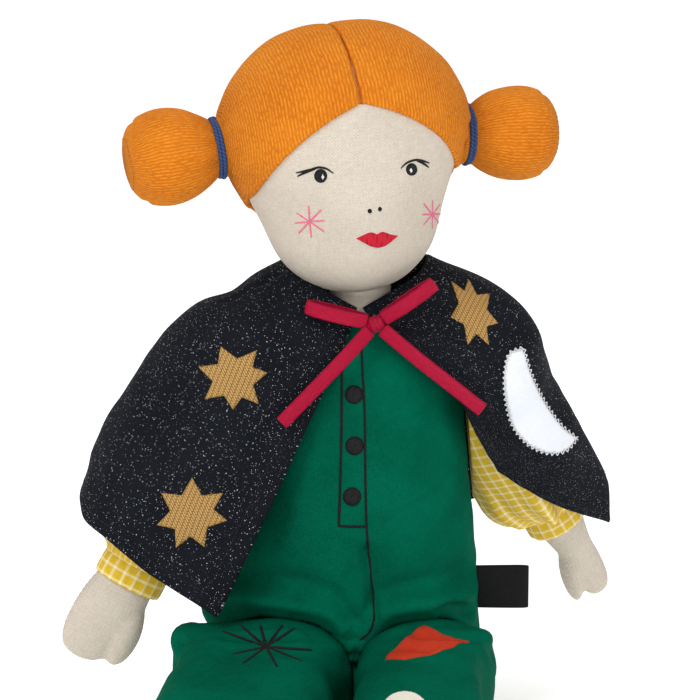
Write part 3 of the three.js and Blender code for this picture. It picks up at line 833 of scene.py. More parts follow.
class Nodes:
    """Writes the nodes of one material or node group."""

    def __init__(self, tree: bpy.types.NodeTree) -> None:
        """Keeps the tree that the nodes go into."""
        self.tree = tree

    def feed(self, socket: Socket, value: Any) -> None:
        """Links a socket to another, or sets it to a constant."""
        if isinstance(value, Socket):
            self.tree.links.new(value, socket)
        else:
            socket.default_value = value

    def fill(self, node: Node, inputs: dict[Any, Any]) -> Node:
        """Feeds sockets of a node, by name or number, and returns the node."""
        for key, value in inputs.items():
            self.feed(node.inputs[key], value)
        return node

    def add(self, kind: str, inputs: dict[Any, Any] | None = None, **settings: Any) -> Node:
        """A new shader node.

        Args:
            kind: its type, without the prefix.
            inputs: values or links for its sockets.
            settings: its own properties.

        Returns:
            The node.
        """
        node = self.tree.nodes.new("ShaderNode" + kind)
        for key, value in settings.items():
            setattr(node, key, value)
        return self.fill(node, inputs or {})

    def math(self, operation: str, *values: Any) -> Socket:
        """The result of a Math node."""
        return self.add("Math", dict(enumerate(values)), operation=operation).outputs[0]

    def weigh(self, first: Any, by: float, second: Any, other: float) -> Socket:
        """The sum of two values, each times its weight."""
        return self.math("ADD", self.math("MULTIPLY", first, by), self.math("MULTIPLY", second, other))

    def wave(self, value: Any) -> Socket:
        """The sine of a value, in half turns."""
        return self.math("SINE", self.math("MULTIPLY", value, math.pi))

    def span(self, value: Any, low: float, high: float, to_low: float = 0.0, to_high: float = 1.0) -> Any:
        """A value eased from one range to another."""
        inputs = {"Value": value, "From Min": low, "From Max": high, "To Min": to_low, "To Max": to_high}
        return self.add("MapRange", inputs, interpolation_type="SMOOTHSTEP").outputs[0]

    def blend(self, share: Any, first: Any, second: Any) -> Socket:
        """Two colours mixed by a share."""
        return self.add("Mix", {0: share, 6: first, 7: second}, data_type="RGBA").outputs[2]

    def split(self, vector: Any) -> tuple[Any, Any]:
        """The first two parts of a vector."""
        node = self.add("SeparateXYZ", {"Vector": vector})
        return node.outputs[0], node.outputs[1]

    def join(self, x: Any, y: Any) -> Socket:
        """A vector from two parts."""
        return self.add("CombineXYZ", {"X": x, "Y": y}).outputs[0]

    def noise(self, vector: Any, scale: float, detail: float = 2.0) -> Socket:
        """Noise at a vector, from 0 to 1."""
        inputs = {"Vector": vector, "Scale": scale, "Detail": detail, "Roughness": 0.55}
        return self.add("TexNoise", inputs).outputs[0]

    def streaks(self, x: Any, y: Any, by_x: float, by_y: float) -> Socket:
        """Noise that is drawn out, at two parts of a vector times a factor each."""
        return self.noise(self.join(self.math("MULTIPLY", x, by_x), self.math("MULTIPLY", y, by_y)), 1.0)

    def bump(self, height: Any, depth: float) -> Socket:
        """The normal of a height that has a depth in millimetres."""
        inputs = {"Height": height, "Distance": depth * MM, "Strength": 1.0}
        return self.add("Bump", inputs).outputs[0]

    def cloth(self) -> Socket:
        """Places on the flat cloth, in millimetres."""
        return self.add("UVMap", uv_map="cloth").outputs[0]

    def effect(self, effect: "Effect", **values: Any) -> dict[str, Socket]:
        """Places a shared effect.

        Args:
            effect: which one.
            values: its inputs by name.

        Returns:
            Its outputs by name.
        """
        node = self.add("Group", values, node_tree=effect.tree())
        return {o.name: o for o in node.outputs}


class Effect(Enum):
    """The effects that several finishes share, as node groups."""

    WEAVE = "Weave"
    PILE = "Pile"
    SATIN_STITCH = "SatinStitch"
    MOTTLE = "Mottle"

    def tree(self) -> bpy.types.NodeTree:
        """The effect's node group.

        Returns:
            The group, built the first time.
        """
        found = bpy.data.node_groups.get(self.value)
        if found:
            return found
        tree = bpy.data.node_groups.new(self.value, "ShaderNodeTree")
        inputs, build = {
            Effect.WEAVE: ({"Pitch": 0.5}, weave_nodes),
            Effect.PILE: ({"Rib": 1.4}, pile_nodes),
            Effect.SATIN_STITCH: ({"Thread": 0.5, "Stitch": 3.0}, stitch_nodes),
            Effect.MOTTLE: ({"Size": 20.0}, mottle_nodes),
        }[self]
        tree.interface.new_socket("Cloth", in_out="INPUT", socket_type="NodeSocketVector")
        for label, value in inputs.items():
            socket = tree.interface.new_socket(label, in_out="INPUT", socket_type="NodeSocketFloat")
            socket.default_value = value
        for label in ("Height", "Tone"):
            tree.interface.new_socket(label, in_out="OUTPUT", socket_type="NodeSocketFloat")
        source, sink = tree.nodes.new("NodeGroupInput"), tree.nodes.new("NodeGroupOutput")
        nodes = Nodes(tree)
        height, tone = build(nodes, source.outputs)
        nodes.fill(sink, {"Height": height, "Tone": tone})
        return tree


def weave_nodes(nodes: Nodes, source: Any) -> tuple[Any, Any]:
    """A plain weave with slubs.

    Args:
        nodes: where it is written.
        source: the group's inputs.

    Returns:
        Its height, and the tone of its threads, lighter where crossings and slubs stand up and darker in the
        hollows: partly uneven yarn, partly painted shade.
    """
    x, y = (nodes.math("DIVIDE", part, source["Pitch"]) for part in nodes.split(source["Cloth"]))
    knots = nodes.math("MULTIPLY", nodes.wave(x), nodes.wave(y))
    warp, weft = nodes.streaks(x, y, 1.0, 0.16), nodes.streaks(x, y, 0.16, 1.0)
    slub = nodes.math("MULTIPLY", nodes.math("ADD", warp, weft), 0.5)
    height = nodes.math("ADD", nodes.math("MULTIPLY", knots, 0.22), slub)
    # Painted shade: the tone follows the raised crossings and slubs, so the hollows between them come out
    # darker.
    even_tone = nodes.math("ADD", nodes.math("MULTIPLY", knots, 0.26), 0.24)
    return height, nodes.math("ADD", nodes.math("MULTIPLY", nodes.span(slub, 0.3, 0.7), 0.52), even_tone)


def pile_nodes(nodes: Nodes, source: Any) -> tuple[Any, Any]:
    """A soft cut pile in fine ribs.

    Args:
        nodes: where it is written.
        source: the group's inputs.

    Returns:
        Its height, and the tone of its ribs: random fuzz, and painted shade that darkens the grooves between
            the ribs.
    """
    x, y = nodes.split(source["Cloth"])
    drift = nodes.streaks(x, y, 0.05, 0.12)
    ribs = nodes.math("ADD", nodes.math("DIVIDE", x, source["Rib"]), nodes.math("MULTIPLY", drift, 1.2))
    swing = nodes.math("SINE", nodes.math("MULTIPLY", ribs, 2 * math.pi))
    ridge = nodes.math("ADD", nodes.math("MULTIPLY", swing, 0.5), 0.5)
    rib = nodes.math("MULTIPLY", ridge, nodes.span(nodes.streaks(x, y, 0.9, 0.35), 0.3, 0.62))
    fuzz = nodes.noise(source["Cloth"], 3.2, 3.0)
    # Painted shade: the tone follows the ribs' height, darker in the grooves between them.
    return nodes.weigh(rib, 0.55, fuzz, 0.6), nodes.weigh(rib, 0.55, fuzz, 0.45)


def stitch_nodes(nodes: Nodes, source: Any) -> tuple[Any, Any]:
    """Rows of flat stitches laid side by side, each row set on from the last.

    Args:
        nodes: where it is written.
        source: the group's inputs.

    Returns:
        Its height, and its tone, which is low in the gaps between threads and at the stitch ends: painted
        shade there.
    """
    along, across = nodes.split(source["Cloth"])
    rows = nodes.math("DIVIDE", across, source["Thread"])
    row = nodes.math("FLOOR", rows)
    curve = nodes.wave(nodes.math("FRACT", rows))
    set_on = nodes.math("MULTIPLY", row, 0.29)
    place = nodes.math("FRACT", nodes.math("ADD", nodes.math("DIVIDE", along, source["Stitch"]), set_on))
    end = nodes.math("MULTIPLY", nodes.span(place, 0.0, 0.14), nodes.span(place, 1.0, 0.86))
    dip = nodes.math("ADD", nodes.math("MULTIPLY", end, 0.95), 0.05)
    body = nodes.math("MULTIPLY", nodes.math("POWER", curve, 0.6), dip)
    # Painted shade: the tone follows the stitches' height, dark in the gaps between threads and at the
    # stitch ends.
    return body, nodes.weigh(body, 0.85, nodes.streaks(along, across, 0.35, 3.0), 0.3)


def mottle_nodes(nodes: Nodes, source: Any) -> tuple[Any, Any]:
    """Slow unevenness of cloth: faint wrinkles, and patches of dye.

    Args:
        nodes: where it is written.
        source: the group's inputs.

    Returns:
        The height of its wrinkles, and the tone of its patches.
    """
    x, y = (nodes.math("DIVIDE", part, source["Size"]) for part in nodes.split(source["Cloth"]))
    patches = nodes.noise(nodes.join(x, y), 1.0, 3.0)
    wrinkles = nodes.noise(nodes.join(nodes.math("MULTIPLY", x, 1.7), y), 1.3, 4.0)
    return wrinkles, nodes.span(patches, 0.25, 0.75)


# Finishes.


@dataclass(frozen=True)
class Finish:
    """A finish in two tones, which makes its material the first time it is asked for."""

    name: str
    pale: str
    deep: str

    def looks(self, nodes: Nodes) -> dict[str, Any]:
        """The finish's own nodes.

        Args:
            nodes: where they are written.

        Returns:
            The shader's inputs, by name.
        """
        raise NotImplementedError

    def material(self) -> bpy.types.Material:
        """The finish's material.

        Returns:
            The material, built the first time.
        """
        found = bpy.data.materials.get(self.name)
        if found is None:
            found = bpy.data.materials.new(self.name)
            found.use_nodes = True
            nodes = Nodes(found.node_tree)
            nodes.fill(found.node_tree.nodes["Principled BSDF"], self.looks(nodes))
        return found

    def dye(self, nodes: Nodes, tone: Any) -> Socket:
        """The colour of a tone, between deep and pale."""
        return nodes.blend(tone, rgb(self.deep), rgb(self.pale))

    @staticmethod
    def sheen(weight: float, roughness: float, tint: str) -> dict[str, Any]:
        """The soft light that short fibres catch."""
        return {"Sheen Weight": weight, "Sheen Roughness": roughness, "Sheen Tint": rgb(tint)}


@dataclass(frozen=True)
class Woven(Finish):
    """Plain woven cloth, such as linen or cotton."""

    pitch: float
    depth: float
    roughness: float
    sheen_weight: float
    patch: float = 0.35
    gloss: float = 0.12

    def looks(self, nodes: Nodes) -> dict[str, Any]:
        """Threads, slubs and uneven dye.

        Args:
            nodes: where they are written.

        Returns:
            The shader's inputs, by name.
        """
        cloth, rough = nodes.cloth(), self.roughness
        weave = nodes.effect(Effect.WEAVE, Cloth=cloth, Pitch=self.pitch)
        mottle = nodes.effect(Effect.MOTTLE, Cloth=cloth, Size=26.0)
        # The weave's tone brings painted shade in the hollows between threads; the mottle adds patches of
        # uneven dye.
        tone = nodes.weigh(weave["Tone"], 1 - self.patch, mottle["Tone"], self.patch)
        return {
            "Base Color": self.dye(nodes, tone),
            "Roughness": nodes.span(weave["Tone"], 0.0, 1.0, rough + 0.06, rough - 0.06),
            "Specular IOR Level": self.gloss,
            "Normal": nodes.bump(weave["Height"], self.depth),
            **self.sheen(self.sheen_weight, 0.5, self.pale),
        }


@dataclass(frozen=True)
class Velour(Finish):
    """Cut velour with fine ribs."""

    rib: float

    def looks(self, nodes: Nodes) -> dict[str, Any]:
        """Ribs, fuzz and brushed patches.

        Args:
            nodes: where they are written.

        Returns:
            The shader's inputs, by name.
        """
        cloth = nodes.cloth()
        pile = nodes.effect(Effect.PILE, Cloth=cloth, Rib=self.rib)
        mottle = nodes.effect(Effect.MOTTLE, Cloth=cloth, Size=30.0)
        # The pile's tone brings painted shade in the grooves between the ribs.
        tone = nodes.weigh(nodes.span(pile["Tone"], 0.05, 0.85), 0.75, mottle["Tone"], 0.25)
        return {
            "Base Color": self.dye(nodes, tone),
            "Roughness": nodes.span(pile["Tone"], 0.0, 1.0, 0.98, 0.85),
            "Specular IOR Level": 0.15,
            "Normal": nodes.bump(pile["Height"], 0.9),
            **self.sheen(0.3, 0.3, "#ffb85a"),
        }


@dataclass(frozen=True)
class Glitter(Finish):
    """Dark cloth with fine specks of silver."""

    speck: str

    @staticmethod
    def specks(nodes: Nodes, cloth: Any, scale: float, reach: float, share: float) -> Socket:
        """Round specks of one size.

        Args:
            nodes: where they are written.
            cloth: places on the flat cloth.
            scale: how many cells lie in a millimetre.
            reach: the radius of the largest speck.
            share: the share of cells that have a speck.

        Returns:
            How bright the speck is at each place, or 0: silver flakes, whose varied brightness is partly
            painted glint.
        """
        inputs = {"Vector": cloth, "Scale": scale, "Randomness": 1.0}
        cells = nodes.add("TexVoronoi", inputs, voronoi_dimensions="2D")
        luck, bright = nodes.split(cells.outputs["Color"])
        here = nodes.math("LESS_THAN", luck, share)
        here = nodes.math("MULTIPLY", here, nodes.span(bright, 0.0, 1.0, 0.15, 0.95))
        grown = nodes.math("ADD", nodes.math("MULTIPLY", bright, 0.6), 0.4)
        dot = nodes.math("LESS_THAN", cells.outputs["Distance"], nodes.math("MULTIPLY", grown, reach))
        return nodes.math("MULTIPLY", dot, here)

    def looks(self, nodes: Nodes) -> dict[str, Any]:
        """The cloth and two sizes of specks.

        Args:
            nodes: where they are written.

        Returns:
            The shader's inputs, by name.
        """
        cloth = nodes.cloth()
        weave = nodes.effect(Effect.WEAVE, Cloth=cloth, Pitch=0.45)
        mottle = nodes.effect(Effect.MOTTLE, Cloth=cloth, Size=24.0)
        large, small = self.specks(nodes, cloth, 1.6, 0.21, 0.13), self.specks(nodes, cloth, 0.9, 0.17, 0.12)
        specks = nodes.math("MAXIMUM", large, small)
        ground = self.dye(nodes, nodes.weigh(weave["Tone"], 0.5, mottle["Tone"], 0.5))
        return {
            # Painted glint: the specks' bright, varied colour stands partly for the sparkle of the silver
            # flakes.
            "Base Color": nodes.blend(specks, ground, rgb(self.speck)),
            "Roughness": nodes.span(specks, 0.0, 1.0, 0.82, 0.35),
            "Metallic": nodes.math("MULTIPLY", specks, 0.3),
            "Specular IOR Level": 0.08,
            "Normal": nodes.bump(nodes.math("ADD", weave["Height"], specks), 0.15),
            **self.sheen(0.02, 0.5, "#9aa4b8"),
        }


@dataclass(frozen=True)
class Gingham(Finish):
    """Cotton woven in small squares between pale lines."""

    line: str
    pitch: float
    gap: float

    def looks(self, nodes: Nodes) -> dict[str, Any]:
        """The squares, lines and weave.

        Args:
            nodes: where they are written.

        Returns:
            The shader's inputs, by name.
        """
        cloth = nodes.cloth()
        weave = nodes.effect(Effect.WEAVE, Cloth=cloth, Pitch=0.4)
        pales = []
        for part in nodes.split(cloth):
            place = nodes.math("FRACT", nodes.math("DIVIDE", part, self.pitch))
            off = nodes.math("ABSOLUTE", nodes.math("SUBTRACT", place, 0.5))
            pales.append(nodes.span(off, 0.5 - self.gap, 0.5 - 0.4 * self.gap))
        pale = nodes.math("MINIMUM", nodes.math("MULTIPLY", nodes.math("ADD", *pales), 0.56), 1.0)
        return {
            # The weave's tone brings painted shade in the hollows between threads.
            "Base Color": nodes.blend(pale, self.dye(nodes, weave["Tone"]), rgb(self.line)),
            "Roughness": nodes.span(weave["Tone"], 0.0, 1.0, 0.9, 0.78),
            "Specular IOR Level": 0.2,
            "Normal": nodes.bump(weave["Height"], 0.14),
            **self.sheen(0.08, 0.5, self.line),
        }


@dataclass(frozen=True)
class Satin(Finish):
    """Shiny ribbon with fine ribs across it and a firm edge."""

    rib: float
    half: float

    def looks(self, nodes: Nodes) -> dict[str, Any]:
        """The ribs, the edge and a broad shine, partly painted into the colour: lighter streaks along the
        ribbon, and darker hollows between the cross ribs.

        Args:
            nodes: where they are written.

        Returns:
            The shader's inputs, by name.
        """
        across, along = nodes.split(nodes.cloth())
        ribs = nodes.math("SINE", nodes.math("MULTIPLY", along, 2 * math.pi / self.rib))
        sheen_streak = nodes.streaks(across, along, 1.6, 0.25)
        rim = nodes.span(nodes.math("ABSOLUTE", across), 0.78 * self.half, 0.9 * self.half)
        # Painted sheen and shade: the lengthwise streaks lighten the colour, and the cross ribs darken it in
        # their hollows.
        base = self.dye(nodes, nodes.weigh(ribs, 0.14, sheen_streak, 0.8))
        return {
            "Base Color": nodes.blend(nodes.math("MULTIPLY", rim, 0.35), base, rgb(self.deep)),
            "Roughness": nodes.span(sheen_streak, 0.2, 0.8, 0.42, 0.28),
            "Anisotropic": 0.5,
            "Specular IOR Level": 0.14,
            "Normal": nodes.bump(nodes.math("ADD", nodes.math("MULTIPLY", ribs, 0.5), rim), 0.12),
            **self.sheen(0.02, 0.3, "#ff9fb0"),
        }


@dataclass(frozen=True)
class Thread(Finish):
    """Embroidery thread in flat stitches."""

    width: float = 0.5
    stitch: float = 3.2
    shine: float = 0.5

    def looks(self, nodes: Nodes) -> dict[str, Any]:
        """The stitches and the gaps between them.

        Args:
            nodes: where they are written.

        Returns:
            The shader's inputs, by name.
        """
        sizes = {"Thread": self.width, "Stitch": self.stitch}
        stitch = nodes.effect(Effect.SATIN_STITCH, Cloth=nodes.cloth(), **sizes)
        return {
            # The stitch tone brings painted shade in the gaps between threads and at the stitch ends.
            "Base Color": self.dye(nodes, stitch["Tone"]),
            "Roughness": nodes.span(stitch["Tone"], 0.0, 1.0, 0.85, 1 - self.shine),
            "Specular IOR Level": 0.25,
            "Normal": nodes.bump(stitch["Height"], 0.22),
            **self.sheen(0.1, 0.4, self.pale),
        }


@dataclass(frozen=True)
class Twist(Finish):
    """Cord of twisted strands."""

    lay: float

    def looks(self, nodes: Nodes) -> dict[str, Any]:
        """The strands, which run aslant, with painted shade in the grooves between them.

        Args:
            nodes: where they are written.

        Returns:
            The shader's inputs, by name.
        """
        cloth = nodes.cloth()
        round_it, along = nodes.split(cloth)
        slant = nodes.math("ADD", nodes.math("DIVIDE", along, self.lay), nodes.math("DIVIDE", round_it, 2.0))
        strand = nodes.math("ABSOLUTE", nodes.wave(slant))
        fibre = nodes.effect(Effect.MOTTLE, Cloth=cloth, Size=0.8)
        return {
            # Painted shade: the tone follows the strands, dark in the grooves between them.
            "Base Color": self.dye(nodes, nodes.weigh(strand, 0.7, fibre["Tone"], 0.3)),
            "Roughness": nodes.span(strand, 0.0, 1.0, 0.9, 0.7),
            "Normal": nodes.bump(strand, 0.3),
            **self.sheen(0.2, 0.4, self.pale),
        }


@dataclass(frozen=True)
class Floor(Finish):
    """A pale matt floor."""

    def looks(self, nodes: Nodes) -> dict[str, Any]:
        """A faint unevenness.

        Args:
            nodes: where they are written.

        Returns:
            The shader's inputs, by name.
        """
        place = nodes.add("TexCoord").outputs["Object"]
        return {
            "Base Color": self.dye(nodes, nodes.noise(place, 3.0)),
            "Roughness": 0.9,
            "Specular IOR Level": 0.0,
            "Emission Color": rgb(self.pale),
            "Emission Strength": 0.45,
        }


LINEN = Woven("linen_cloth", "#d6ccbf", "#b2a797", 0.72, 0.28, 0.92, 0.04, 0.2)
GREEN = Woven("jumpsuit_cotton", "#00664c", "#00402e", 0.5, 0.18, 0.78, 0.0, 0.4, 0.02)
ORANGE = Velour("hair_velour", "#fb9c2a", "#c2620a", 1.45)
NIGHT = Glitter("glitter_cloth", "#16191f", "#0b0d12", "#e6e8ee")
YELLOW = Gingham("sleeve_gingham", "#dfbd30", "#c7a022", "#eadcae", 4.7, 0.17)
RED_RIBBON = Satin("red_ribbon", "#cf0a3e", "#7a0322", 0.5, 3.0)
NAVY_CORD = Twist("navy_cord", "#2a4b82", "#12234a", 1.6)
BLACK_TAPE = Woven("tag_tape", "#161617", "#080809", 0.5, 0.2, 0.6, 0.04)
BLACK_THREAD = Thread("black_thread", "#18181a", "#060607", 0.45, 14.0, 0.35)
GOLD_THREAD = Thread("gold_thread", "#bb9253", "#463110", 0.95, 2.7, 0.5)
PINK_THREAD = Thread("pink_thread", "#f4819f", "#d65a7b", 0.4, 9.0, 0.4)
LIP_THREAD = Thread("lip_thread", "#cf122d", "#8c071b", 0.6, 24.0, 0.5)
WHITE_THREAD = Thread("white_thread", "#f2f2f0", "#c2c4c8", 0.45, 4.0, 0.45)
GREEN_THREAD = Thread("green_thread", "#0a684a", "#003a28", 0.4, 4.0, 0.4)
DARK_THREAD = Thread("navy_thread", "#23262e", "#101218", 0.4, 4.0, 0.4)
LINEN_THREAD = Thread("linen_thread", "#cfc4b4", "#9c8f7d", 0.4, 4.0, 0.3)
ORANGE_THREAD = Thread("orange_thread", "#c06a14", "#7e3f06", 0.4, 4.0, 0.3)
WHITE_PATCH = Woven("white_patch", "#eef0f5", "#d3d8e1", 0.5, 0.16, 0.85, 0.1)
RED_PATCH = Woven("red_patch", "#c83c22", "#9c2814", 0.5, 0.16, 0.85, 0.05)
CREAM_PATCH = Woven("cream_patch", "#ece7da", "#d4cdbc", 0.5, 0.16, 0.85, 0.1)
FLOOR = Floor("studio_floor", "#fbfbfb", "#f6f6f6")


# Dressing: what a piece is finished in, and what it moves with.


@dataclass(frozen=True)
class Hold:
    """What a piece moves with: one body; a piece that also names a second body is left in place, attached to
    neither.
    """

    body: str
    onto: str = ""
    start: Triple = (0.0, 0.0, 0.0)
    end: Triple = (0.0, 0.0, 0.0)

    def take(self, obj: Object) -> None:
        """Puts the piece on its body, or, where it names a second body, bakes its place into its points and
        leaves it unattached.
        """
        if self.onto:
            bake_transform(obj)
        else:
            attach(obj, self.body)


def dress(obj: Object, finish: Finish, hold: Hold, replaces: Sequence[str] = ()) -> Object:
    """Finishes a piece, hands it to its hold and hides the solids that it stands for.

    Args:
        obj: the piece, in place.
        finish: its finish.
        hold: what it moves with.
        replaces: the solids that it stands for.

    Returns:
        The piece.
    """
    obj.data.materials.clear()
    obj.data.materials.append(finish.material())
    hold.take(obj)
    if replaces:
        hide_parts(*replaces)
    LOG.info("%s: %s on %s%s", obj.name, finish.name, hold.body, f" to {hold.onto}" if hold.onto else "")
    return obj


# Places in the picture.

LAP_SEAM = ((368, 548), (371, 576), (373.5, 600), (374, 618), (370, 631), (360, 640), (346, 641))
HIP_FOLD = ((436, 612), (452, 608), (470, 611))
PLACKET_EDGE = ((342, 352), (341.7, 395), (341.2, 440), (340, 489), (338.7, 526))
PLACKET_FOOT = ((338.7, 526), (352, 526.6), (366.6, 526.6))
MIDDLE_SEAM = (
    (361, 340), (363, 380), (364.7, 416), (365.3, 475), (366.6, 526.6),
    (369.7, 563), (373.5, 598), (374, 618), (370, 631), (360, 640),
)
BUTTONS = {"top": (354, 394.6), "middle": (354.6, 445.8), "bottom": (352, 496.6)}
BUTTON_HALVES = (9.3, 9.5)
EYES = (((320.7, 175.9), (6.6, 7.0)), ((411.6, 169.4), (5.7, 6.3)))
HIGHLIGHTS = (((323, 176.4), (2.0, 3.5)), ((410.2, 169.9), (1.8, 3.2)))
NOSTRILS = (((369.8, 211.1), (2.2, 2.4)), ((379.9, 209.1), (2.0, 2.4)))
LASHES = (
    ((296, 172.9), (303, 171.4), (311.5, 169.4), (318.7, 167.4), (326, 168.6), (333.4, 173.2)),
    ((297.4, 176.4), (303, 173.6), (310, 170.8), (316, 168.8)),
    ((401, 168.4), (404, 165), (408, 162.2), (415.3, 160), (422, 160.6), (429.3, 163.1)),
    ((417, 161), (422.6, 163), (428.7, 167.3)),
)
LIPS = (
    (356, 238.6), (363, 235.2), (368, 232.9), (371.4, 232.3), (374.6, 233.1), (377.2, 234.4),
    (379.8, 232.6), (382.8, 231.6), (386.5, 232.9), (391, 234.5), (398.2, 235.8), (393.5, 239.6),
    (389, 243.6), (384.6, 246.4), (377.4, 247.9), (371, 246.6), (365, 243.4), (360, 240.6),
)
CHEEK_MIDDLES = ((309.6, 221.6), (432.2, 214.4))
CHEEK_ENDS = (
    (
        (308.7, 205.7), (321.5, 209.6), (324.8, 220.5), (324.4, 231.6),
        (311.4, 237.3), (298.6, 233.1), (295.3, 223), (296.7, 212.8),
    ),
    (
        (432.5, 200), (440.2, 204.4), (442.1, 214), (440.2, 224.3),
        (432.2, 228.7), (423.5, 224.9), (422.4, 214.7), (423.9, 203.8),
    ),
)
BURST_MIDDLE = (266.2, 647.0)
BURST_ENDS = (
    (222.8, 631.5), (240.4, 625.4), (260.3, 625.6), (282, 625.8), (294.6, 628.4),
    (311.3, 650), (301.3, 660.8), (277, 666.7), (243.3, 663.2), (233.6, 654.1),
)
LEAF = (
    (385, 660), (393, 651), (403, 641), (414, 631.5), (424, 626), (432, 629), (442, 634),
    (456, 638.5), (470, 641.5), (455, 646.5), (440, 651.5), (422, 656.5), (404, 660),
)
ROUND_PATCH = ((405, 712), (24, 20))
SHOULDER_TOP = (227, 284)
SHOULDER_SEAM = ((279, 273), (263, 281), (246, 290), (228, 301))
STARS = {
    Side.LEFT: (
        (
            (451.2, 281.2), (468.2, 279.1), (489.7, 293.8), (498.2, 323.2),
            (488.8, 345.3), (467.6, 345), (450.6, 317.1),
        ),
    ),
    Side.RIGHT: (
        (
            (220.7, 346.2), (257.1, 350), (267.6, 372.6), (258.8, 404.2),
            (233, 410.1), (204.6, 399.2), (198.4, 366.7),
        ),
        (
            (192, 477.5), (223.3, 492.8), (227.2, 520.6), (204.3, 547.3),
            (175.8, 547.9), (156.8, 525), (161.2, 492.8),
        ),
    ),
}
MOON_OUTER = (
    (522.6, 348.2), (510, 353), (505, 368), (504.1, 384), (506.5, 404.7),
    (513.8, 428.2), (530, 445.9), (550.6, 453.2), (565.3, 450.3), (576.5, 438.5),
)
MOON_INNER = ((576.5, 438.5), (562, 427), (549, 410), (538, 391), (529, 370), (522.6, 348.2))


# The doll.


